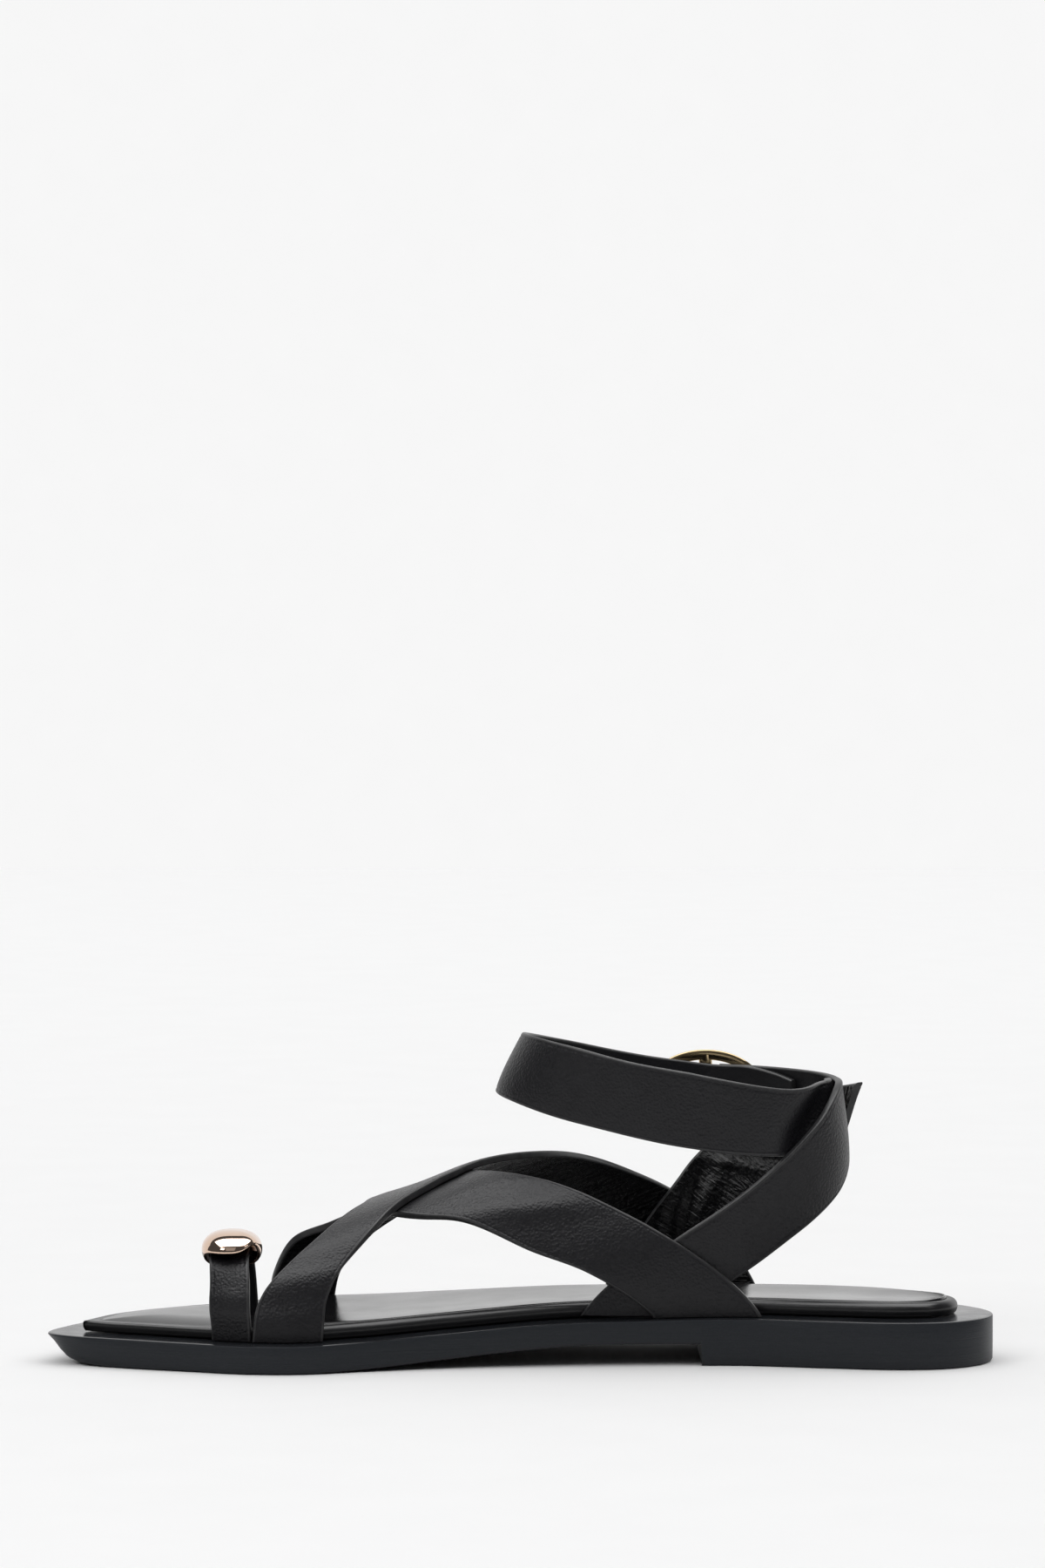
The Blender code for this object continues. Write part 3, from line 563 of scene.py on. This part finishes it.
def strap_section(wall, corner):
    """Cross-section of a strap, once round, in rows of (start, distance or share, height, side).
    Side 0 is the lining, 1 the painted edge and 2 the outer face with a pressed line near each edge."""
    arc = np.radians(np.linspace(0.0, 90.0, 5))
    under = [(corner - corner * math.sin(a), corner - corner * math.cos(a), 1) for a in arc[1:]]
    over = [(d, wall - h, 1) for d, h, _ in under[::-1]]
    lining = [(d, 0.0, 0) for d in (corner, 1.2, edge_zone)]
    face = []
    for d in (corner + 0.15, 0.9, 1.1, edge_line_at, 1.5, 1.7, 2.1, edge_zone):
        line = edge_line_depth * math.exp(-((d - edge_line_at) / edge_line_breadth) ** 2)
        face.append((d, wall - line, 2))
    middle = np.linspace(0.0, 1.0, 11)[1:-1]
    rows = [("low", *row) for row in lining]
    rows += [("middle", share, 0.0, 0) for share in middle]
    rows += [("high", *row) for row in lining[::-1] + under + over + face]
    rows += [("middle", share, wall, 2) for share in middle[::-1]]
    rows += [("low", *row) for row in face[::-1] + over[::-1] + under[::-1]]
    return rows


def section_shares(section, width):
    """Place of each row of the section as a share of the strap's width, all along the strap."""
    zone = np.minimum(edge_zone, edge_zone_share * width)
    share = np.zeros((len(width), len(section)))
    for k, (start, value, _, _) in enumerate(section):
        inset = np.minimum(value, zone * value / edge_zone) / width
        edge = zone / width
        if start == "low":
            share[:, k] = inset
        elif start == "high":
            share[:, k] = 1.0 - inset
        else:
            share[:, k] = edge + (1.0 - 2.0 * edge) * value
    return share


def outward_directions(skin, middle):
    """Directions square to a skin of points, pointing away from a middle point."""
    outward = np.cross(np.gradient(skin, axis=0), np.gradient(skin, axis=1))
    outward /= np.linalg.norm(outward, axis=2)[:, :, None]
    centre = ((len(skin) - 1) // 2, skin_steps // 2)
    if np.dot(outward[centre], skin[centre] - np.array(middle)) < 0:
        outward = -outward
    return outward


def strap_waves(travel, span, creases):
    """Height of the slow waves and the creases, stilled towards the strap's ends.
    A crease's turn is its angle from the strap's length, and a negative depth makes it a ridge."""
    waves = sum(
        wave.height * np.sin(travel / wave.along + span / wave.across + wave.start) for wave in slow_waves
    )
    for crease in creases:
        turn = math.radians(crease.turn)
        from_along = travel - crease.along
        from_across = span - crease.across
        t = from_along * math.cos(turn) + from_across * math.sin(turn)
        w = -from_along * math.sin(turn) + from_across * math.cos(turn)
        waves = waves - crease.depth * np.exp(-((t / crease.reach) ** 2) - (w / crease.breadth) ** 2)
    return waves * np.clip(np.minimum(travel, travel[-1] - travel) / still_end, 0.0, 1.0)


def mark_sides(piece, unrolled, sides):
    """Gives a strap its unrolled coordinates, for the grain, and a material for each side."""
    corners = np.zeros(len(piece.data.loops), int)
    piece.data.loops.foreach_get("vertex_index", corners)
    layer = piece.data.uv_layers.new(name="strap")
    layer.data.foreach_set("uv", unrolled[corners].ravel())
    corner_sides = sides[corners % len(sides)]
    for face in piece.data.polygons:
        found = set(corner_sides[list(face.loop_indices)])
        face.material_index = found.pop() if len(found) == 1 else 1


def laid_strap(name, rows, form, middle, wall, steps, creases=(), corner=0.6):
    """Strap of even wall laid over a form round a middle point, with soft creases in it."""
    table = np.array(rows, float)
    at = np.linspace(0.0, len(table) - 1.0, steps + 1)
    edges = [smooth(np.arange(len(table)), values, at)[:, None] for values in table.T]
    low_a, low_b, high_a, high_b, low_lift, high_lift = edges

    def across(share):
        return form(low_a + (high_a - low_a) * share, low_b + (high_b - low_b) * share)

    width = np.linalg.norm(form(high_a, high_b) - form(low_a, low_b), axis=2)[:, 0]
    width = np.maximum(width, narrowest_in_corners * corner)
    section = strap_section(wall, corner)
    share = section_shares(section, width)
    height = np.array([row[2] for row in section])
    sides = np.array([row[3] for row in section])

    skin = across(np.linspace(0.0, 1.0, skin_steps + 1)[None, :])
    outward = outward_directions(skin, middle)
    first = np.clip((share * skin_steps).astype(int), 0, skin_steps - 1)
    blend = (share * skin_steps - first)[:, :, None]
    step = np.arange(steps + 1)[:, None]
    normal = outward[step, first] * (1.0 - blend) + outward[step, first + 1] * blend
    normal /= np.linalg.norm(normal, axis=2)[:, :, None]

    run = np.linalg.norm(np.diff(skin[:, skin_steps // 2], axis=0), axis=1)
    travel = np.concatenate([[0.0], np.cumsum(run)])[:, None]
    span = share * width[:, None]
    raised = height + strap_waves(travel, span, creases)
    lift = low_lift + (high_lift - low_lift) * share + raised
    points = across(share) + normal * lift[:, :, None]
    foot_level = (points[..., 2] - normal[..., 2] * raised).min(axis=1)
    for end in (0, -1):
        points[end, :, 2] = np.maximum(points[end, :, 2], foot_level[end])

    size = len(section)
    faces = [face[::-1] for face in ring_faces(steps + 1, size)]
    faces += [tuple(range(size)), tuple(range(steps * size, (steps + 1) * size))]
    piece = new_piece(name, points.reshape(-1, 3), faces, smooth_angle=50.0)
    face_outward(piece)
    unrolled = np.stack([np.broadcast_to(travel, share.shape), span], axis=-1).reshape(-1, 2) * MM
    mark_sides(piece, unrolled, sides)
    return piece


fold_scale, pore_scale, pore_share, grain_depth = (800.0, 110.0, 1.0), 2.2, 0.35, 0.0002


def strap_grain(material, scale, strength, folds):
    """Pebbled grain, pores and fine folds across the strap as bump, in real size."""
    place = add_node(material, "ShaderNodeTexCoord")
    along = add_node(material, "ShaderNodeUVMap", uv_map="strap")
    stretch = add_node(material, "ShaderNodeMapping")
    stretch.inputs["Scale"].default_value = fold_scale
    cells = add_node(material, "ShaderNodeTexVoronoi", Scale=scale, feature="SMOOTH_F1")
    pores = add_node(material, "ShaderNodeTexNoise", Scale=pore_scale * scale, Detail=3.0)
    creased = add_node(material, "ShaderNodeTexNoise", Scale=1.0, Detail=3.0, Distortion=1.2)
    fine = add_node(material, "ShaderNodeMath", operation="MULTIPLY_ADD")
    fine.inputs[1].default_value = pore_share
    total = add_node(material, "ShaderNodeMath", operation="MULTIPLY_ADD")
    total.inputs[1].default_value = folds
    bump = add_node(material, "ShaderNodeBump", Strength=strength, Distance=grain_depth)
    for node in (cells, pores):
        join(material, place.outputs["Object"], node.inputs["Vector"])
    join(material, along.outputs["UV"], stretch.inputs["Vector"])
    join(material, stretch.outputs["Vector"], creased.inputs["Vector"])
    join(material, pores.outputs["Fac"], fine.inputs[0])
    join(material, cells.outputs["Distance"], fine.inputs[2])
    join(material, creased.outputs["Fac"], total.inputs[0])
    join(material, fine.outputs["Value"], total.inputs[2])
    join(material, total.outputs["Value"], bump.inputs["Height"])
    join(material, bump.outputs["Normal"], principled(material).inputs["Normal"])


strap_leather = new_material("strap_leather", (0.007, 0.007, 0.0085), roughness=0.40, specular=0.30)
mottle(strap_leather, 160.0, (0.006, 0.0058, 0.0072), (0.0085, 0.0084, 0.010), "Base Color")
mottle(strap_leather, 1500.0, 0.32, 0.46, "Roughness")
strap_grain(strap_leather, scale=1500.0, strength=0.9, folds=0.25)
creased_lining = new_material("creased_lining", (0.003, 0.003, 0.0035), roughness=0.26, specular=0.26)
mottle(creased_lining, 120.0, 0.22, 0.30, "Roughness")
strap_grain(creased_lining, scale=900.0, strength=1.0, folds=3.2)
smooth_lining = new_material("smooth_lining", (0.009, 0.009, 0.0105), roughness=0.40, specular=0.22)
mottle(smooth_lining, 120.0, 0.36, 0.46, "Roughness")
strap_grain(smooth_lining, scale=1200.0, strength=0.4, folds=0.3)
# The cut edges are a lighter grey than the face. This is partly their edge paint and partly a painted
# highlight, standing in for the light the top edges catch from above.
strap_edge = new_material("strap_edge", (0.025, 0.025, 0.026), roughness=0.38, specular=0.35)
mottle(strap_edge, 500.0, (0.018, 0.018, 0.019), (0.032, 0.032, 0.033), "Base Color")


def finish_strap(piece, node, lining):
    """Lining, painted edge with its painted highlight, and outer leather of a strap, fixed to the shoe in
    place of its solid.
    """
    for material in (lining, strap_edge, strap_leather):
        piece.data.materials.append(material)
    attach(piece, "root")
    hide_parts(node)


instep_middle_along = 0.40
instep_middle = (station_x(instep_middle_along), 0.0, 0.0)
under_creases = [
    Crease(98.0, 14.0, 13.0, 5.0, 0.5, 63.0),
    Crease(110.0, 13.0, 14.0, 6.0, -1.2, 63.0),
]
under_strap = laid_strap(
    "under_strap", under_strap_rows, instep_point, instep_middle, strap_wall, steps=260, creases=under_creases
)
finish_strap(under_strap, "upper", creased_lining)
over_creases = [
    Crease(10.0, 9.0, 12.0, 3.5, 0.5, 90.0),
    Crease(18.0, 9.0, 12.0, 4.0, -0.5, 90.0),
]
over_strap = laid_strap(
    "over_strap", over_strap_rows, instep_point, instep_middle, strap_wall, steps=260, creases=over_creases
)
finish_strap(over_strap, "upper", creased_lining)

# Ankle straps: the buckle strap rises from the inner waist round the heel to the buckle, the ankle
# strap starts inside it, goes round the front and narrows to its end behind the buckle, and the
# outer strap rises from the outer waist to a free end behind the heel.
AnkleSection = namedtuple("AnkleSection", "z front middle back half_width")
ankle_centre_x, ankle_centre_y = 48.0, 3.2
ankle_sections = [
    AnkleSection(10.0, -8.0, 28.0, 85.5, 25.3),
    AnkleSection(20.0, -8.0, 30.0, 86.2, 25.2),
    AnkleSection(35.0, -8.0, 40.0, 87.6, 25.0),
    AnkleSection(55.0, -7.0, ankle_centre_x, 90.0, 25.5),
    AnkleSection(75.0, -5.0, ankle_centre_x, 87.8, 27.0),
    AnkleSection(95.0, 4.0, ankle_centre_x, 86.0, 28.0),
]
AnkleRow = namedtuple("AnkleRow", "low_turn low_z high_turn high_z low_lift high_lift")
buckle_strap_rows = [
    AnkleRow(107.0, 13.6, 72.0, 13.6, 0.0, 0.0),
    AnkleRow(115.6, 19.5, 84.8, 26.0, 0.0, 0.0),
    AnkleRow(125.8, 26.8, 95.0, 36.0, 0.0, 0.0),
    AnkleRow(136.2, 33.2, 109.1, 46.0, 0.0, 0.0),
    AnkleRow(149.0, 39.8, 124.5, 56.0, 0.6, 0.6),
    AnkleRow(163.8, 47.5, 143.0, 67.0, 2.0, 3.2),
    AnkleRow(182.0, 56.0, 166.0, 76.5, 2.3, 2.9),
    AnkleRow(204.0, 59.0, 191.0, 78.6, 2.3, 2.3),
    AnkleRow(234.0, 60.5, 227.0, 80.0, 2.5, 2.5),
    AnkleRow(256.0, 61.0, 256.0, 80.8, 2.5, 2.5),
]
ankle_strap_rows = [
    AnkleRow(184.0, 60.0, 188.0, 78.5, 0.0, 0.0),
    AnkleRow(158.0, 59.2, 162.0, 78.3, 0.0, 0.0),
    AnkleRow(130.0, 58.2, 130.0, 77.6, 0.0, 0.0),
    AnkleRow(91.0, 61.0, 79.0, 84.2, 0.0, 0.0),
    AnkleRow(55.0, 67.8, 46.0, 89.3, 0.0, 0.0),
    AnkleRow(20.0, 73.2, 16.0, 91.2, 0.0, 0.0),
    AnkleRow(-14.0, 74.0, -13.0, 90.8, 0.0, 0.0),
    AnkleRow(-48.0, 69.0, -45.0, 88.0, 0.0, 0.0),
    AnkleRow(-80.0, 63.5, -79.0, 83.0, 0.0, 0.0),
    AnkleRow(-100.0, 62.0, -100.0, 80.8, 0.0, 0.0),
    AnkleRow(-116.0, 62.3, -116.0, 80.4, 0.0, 0.0),
    AnkleRow(-129.0, 63.6, -129.0, 78.8, 0.0, 0.0),
    AnkleRow(-140.0, 66.2, -140.0, 76.8, 0.0, 0.0),
]
outer_strap_rows = [
    AnkleRow(254.3, 13.6, 277.0, 13.6, -1.5, -1.5),
    AnkleRow(249.9, 23.0, 276.0, 30.0, -3.0, -4.0),
    AnkleRow(246.4, 33.0, 272.0, 44.0, -3.0, -5.0),
    AnkleRow(238.0, 43.0, 265.0, 55.0, 0.0, -0.5),
    AnkleRow(225.6, 51.5, 248.0, 66.0, 4.0, 4.8),
    AnkleRow(211.0, 57.0, 227.0, 72.0, 4.5, 4.8),
    AnkleRow(194.0, 62.4, 190.0, 76.0, 4.2, 10.0),
]


def ankle_point(turn, z):
    """Points of the ankle at turns round the leg and heights."""
    heights = column(ankle_sections, "z")
    front, middle, back, half = (
        smooth(heights, column(ankle_sections, name), z) for name in ("front", "middle", "back", "half_width")
    )
    angle = np.radians(turn)
    reach = np.where(np.cos(angle) > 0, middle - front, back - middle)
    x = middle - reach * np.cos(angle)
    y = ankle_centre_y - half * np.sin(angle)
    return np.stack([x, y, z + 0.0 * x], axis=-1)


ankle_middle = (ankle_centre_x, ankle_centre_y, ankle_sections[-1].z)
buckle_strap = laid_strap(
    "buckle_strap", buckle_strap_rows, ankle_point, ankle_middle, strap_wall, steps=300
)
finish_strap(buckle_strap, "upper", smooth_lining)
ankle_creases = [Crease(18.0, 10.5, 18.0, 5.5, 2.9, 139.0)]
ankle_strap = laid_strap(
    "ankle_strap", ankle_strap_rows, ankle_point, ankle_middle, strap_wall, steps=380, creases=ankle_creases
)
finish_strap(ankle_strap, "upper", smooth_lining)
outer_creases = [
    Crease(22.0, 16.0, 11.0, 2.4, -0.9, 35.0),
    Crease(28.0, 14.0, 12.0, 2.2, 0.9, 30.0),
    Crease(34.0, 12.0, 12.0, 2.0, -0.9, 25.0),
    Crease(39.0, 10.0, 10.0, 1.8, 0.8, 20.0),
    Crease(48.0, 12.0, 9.0, 1.8, 0.9, -60.0),
    Crease(54.0, 10.0, 9.0, 1.8, -0.9, -60.0),
]
outer_strap = laid_strap(
    "outer_strap", outer_strap_rows, ankle_point, ankle_middle, strap_wall, steps=220, creases=outer_creases
)
finish_strap(outer_strap, "upper", creased_lining)

# Toe loop: a narrow strap of the same lined leather, bent over the big toe. Its inner leg is glued
# to the ledge beside the footbed, and its other leg goes down to the footbed.
toe_loop_x, toe_loop_width, toe_loop_wall, toe_loop_corner = -82.8, 10.9, 1.8, 0.5
toe_loop_far_y, toe_loop_crest, toe_loop_power = -8.5, 30.6, 0.62
toe_loop_skew, toe_loop_lean = 2.4, 1.8
toe_loop_span = 28.0


def toe_point(offset, turn):
    """Points of the big toe's form: an arch from the inner ledge to the footbed."""
    turn = np.clip(turn, 0.0, 180.0)
    angle = np.radians(turn)
    side = np.cos(angle)
    aside = toe_loop_lean * np.maximum(side, 0.0) ** 2 + toe_loop_skew * (turn / 180.0) ** 2
    x = toe_loop_x + offset + aside
    foot = sole_top(x) + gap
    near = sole_edges(toe_loop_x + offset)[0] + strap_foot_set
    half = 0.5 * (toe_loop_far_y - near)
    y = near + half - half * np.sign(side) * np.abs(side) ** toe_loop_power
    z = foot + (toe_loop_crest - foot) * np.sin(angle) ** toe_loop_power
    return np.stack([x, y, z], axis=-1)


toe_loop_half = 0.5 * toe_loop_width
toe_loop_rows = [
    InstepRow(-toe_loop_half, turn, toe_loop_half, turn, 0.0, 0.0) for turn in np.linspace(0.0, 180.0, 7)
]
toe_loop_middle = (toe_loop_x, toe_loop_far_y - 0.5 * toe_loop_span, heel_height)
toe_creases = [
    Crease(9.0, 5.5, 14.0, 6.0, -1.5, 90.0),
    Crease(12.0, 5.5, 9.0, 2.0, -0.2, 84.0),
]
toe_loop = laid_strap(
    "toe_loop_strap", toe_loop_rows, toe_point, toe_loop_middle, toe_loop_wall,
    steps=160, creases=toe_creases, corner=toe_loop_corner,
)
finish_strap(toe_loop, "toe_loop", smooth_lining)

# Toe ornament: a hollow polished pebble of rose gold metal sitting over the crest of the toe loop;
# both ends curl under beside the strap, and its lip is notched on the heel side. Below the lip and
# inside the shell the metal is a dark bronze, painted there as shade and dark reflection.
pebble_x, pebble_top, pebble_height = -81.9, 38.0, 5.4
pebble_half_length, pebble_half_width = 8.6, 12.5
PebbleEnd = namedtuple("PebbleEnd", "spoke reach")
pebble_ends = (PebbleEnd(24.0, 34.0), PebbleEnd(168.0, 30.0))
pebble_end_drop, pebble_end_curl = 4.6, 55.0
notch_spoke, notch_reach, notch_height = 318.0, 24.0, 2.2
pebble_wall, pebble_fullness, pebble_squareness = 0.9, 0.74, 0.9
lip_drop, painted_shade_drop = 0.35, 0.6
pebble_y = toe_loop_far_y - 0.5 * toe_loop_span
pebble_degrees = np.linspace(0.0, 360.0, 160, endpoint=False)


def pebble_ring(share, inset):
    """Ring of the pebble's shell at a share of the way from its lip to its top."""
    spokes = np.radians(pebble_degrees)
    ends = sum(np.exp(-(((pebble_degrees - end.spoke + 180.0) % 360.0 - 180.0) / end.reach) ** 2)
               for end in pebble_ends)
    notch = notch_height * np.exp(-(((pebble_degrees - notch_spoke) / notch_reach) ** 2))
    curl = math.radians(pebble_end_curl)
    climb = 0.5 * math.pi * share - curl * ends * (1.0 - share)
    reach = np.cos(climb) ** pebble_fullness
    side, depth = np.cos(spokes), np.sin(spokes)
    x = (pebble_half_length - inset) * reach * np.sign(side) * np.abs(side) ** pebble_squareness
    y = (pebble_half_width - inset) * reach * np.sign(depth) * np.abs(depth) ** pebble_squareness
    rise = np.where(climb > 0, pebble_height - inset, pebble_end_drop / math.sin(curl)) * np.sin(climb)
    z = pebble_top - pebble_height + rise + notch * (1.0 - share) ** 2
    return np.column_stack([pebble_x + x, pebble_y + y, z])


pebble_shares = np.linspace(0.0, 1.0, 29)[:-1]
lip_turns = np.linspace(0.0, math.pi, 7)[1:-1]
pebble_rings = [pebble_ring(share, pebble_wall) for share in pebble_shares[::-1]]
for turn in lip_turns:
    lip = pebble_ring(0.0, 0.5 * pebble_wall * (1.0 + math.cos(turn)))
    pebble_rings.append(lip - [0.0, 0.0, lip_drop * pebble_wall * math.sin(turn)])
pebble_rings += [pebble_ring(share, 0.0) for share in pebble_shares]
pebble_faces = ring_faces(len(pebble_rings), len(pebble_degrees))
pebble_last = (len(pebble_rings) - 1) * len(pebble_degrees)
pebble_faces.append(tuple(range(len(pebble_degrees))))
pebble_faces.append(tuple(range(pebble_last, pebble_last + len(pebble_degrees))))
pebble = new_piece("toe_pebble", np.vstack(pebble_rings), pebble_faces, smooth_angle=60.0)
face_outward(pebble)
rose_gold = new_material("rose_gold", (0.74, 0.55, 0.43), roughness=0.05, metallic=1.0)
mottle(rose_gold, 300.0, 0.03, 0.06, "Roughness")
# Dark bronze that stands in for the shade and dark reflections under the lip and inside the shell.
bronze_painted_shade = new_material("bronze_painted_shade", (0.16, 0.085, 0.05), roughness=0.14, metallic=1.0)
mottle(bronze_painted_shade, 300.0, 0.10, 0.18, "Roughness")
for metal in (rose_gold, bronze_painted_shade):
    pebble.data.materials.append(metal)
painted_shade_level = (pebble_top - pebble_height - painted_shade_drop) * MM
inside_count = len(pebble_shares) * len(pebble_degrees)
# Faces inside the shell, and those lower than just under the lip, take the dark bronze as painted shade.
for face in pebble.data.polygons:
    inside = max(face.vertices) < inside_count
    face.material_index = 1 if inside or face.center.z < painted_shade_level else 0
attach(pebble, "root")
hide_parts("toe_ornament")

# Buckle: an oval frame of flat polished pale gold metal with a centre bar, and the prong that swings
# on it; seen from inside the shoe, the frame stands up behind the ankle strap.
buckle_x, buckle_y, buckle_z = 54.0, 35.7, 72.1
buckle_half_length, buckle_half_height = 16.0, 11.0
buckle_section, buckle_flat, buckle_squareness = 1.5, 0.9, 0.45
bar_radius, bar_half_width, prong_radius, prong_overhang = 1.0, 1.9, 0.9, 1.5


def bent_rod(name, path, plane, radius, flat, closed, squareness=1.0, sides=32):
    """Bar swept along a path in a plane: half width in the plane, and half thickness across it."""
    path = np.array(path, float)
    if closed:
        along = np.roll(path, -1, axis=0) - np.roll(path, 1, axis=0)
    else:
        along = np.gradient(path, axis=0)
    along /= np.linalg.norm(along, axis=1)[:, None]
    plane = np.array(plane, float)
    aside = np.cross(along, plane)
    turns = np.linspace(0.0, 2.0 * math.pi, sides, endpoint=False)
    thick = flat * np.sign(np.cos(turns)) * np.abs(np.cos(turns)) ** squareness
    wide = radius * np.sign(np.sin(turns)) * np.abs(np.sin(turns)) ** squareness
    rings = [p + np.outer(thick, plane) + np.outer(wide, a) for p, a in zip(path, aside)]
    if closed:
        rings.append(rings[0])
    faces = ring_faces(len(rings), sides)
    if not closed:
        last = (len(path) - 1) * sides
        faces += [tuple(range(sides)), tuple(range(last, last + sides))]
    piece = new_piece(name, np.vstack(rings), faces, smooth_angle=60.0)
    face_outward(piece)
    return piece


across_buckle, up_buckle = (0.0, 1.0, 0.0), (0.0, 0.0, 1.0)
pale_gold = new_material("pale_gold", (0.52, 0.40, 0.23), roughness=0.12, metallic=1.0)
mottle(pale_gold, 300.0, 0.08, 0.15, "Roughness")
oval_turns = np.linspace(0.0, 2.0 * math.pi, 128, endpoint=False)
oval = np.column_stack([
    buckle_x + buckle_half_length * np.cos(oval_turns),
    np.full(len(oval_turns), buckle_y),
    buckle_z + buckle_half_height * np.sin(oval_turns),
])
buckle_oval = bent_rod(
    "buckle_oval", oval, across_buckle, buckle_section, buckle_flat, closed=True, squareness=buckle_squareness
)
bar_rises = np.linspace(-buckle_half_height, buckle_half_height, 9)
bar_path = [(buckle_x, buckle_y, buckle_z + rise) for rise in bar_rises]
buckle_bar = bent_rod("buckle_bar", bar_path, across_buckle, bar_half_width, bar_radius, closed=False)
eye = bar_radius + gap + prong_radius
curl = np.radians(np.linspace(-150.0, 90.0, 33))
prong_path = [(buckle_x + eye * math.cos(t), buckle_y + eye * math.sin(t), buckle_z) for t in curl]
tip_x = buckle_x - buckle_half_length - prong_overhang
tip_y = buckle_y + buckle_flat + gap + prong_radius
shaft_x = np.linspace(buckle_x, tip_x, 13)[1:]
shaft_y = np.linspace(buckle_y + eye, tip_y, 13)[1:]
prong_path += [(x, y, buckle_z) for x, y in zip(shaft_x, shaft_y)]
buckle_prong = bent_rod("prong", prong_path, up_buckle, prong_radius, prong_radius, closed=False)
buckle_nodes = {buckle_oval: "buckle_frame", buckle_bar: "buckle_frame", buckle_prong: "buckle_prong"}
for piece, node in buckle_nodes.items():
    piece.data.materials.append(pale_gold)
    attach(piece, "root")
    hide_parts(node)
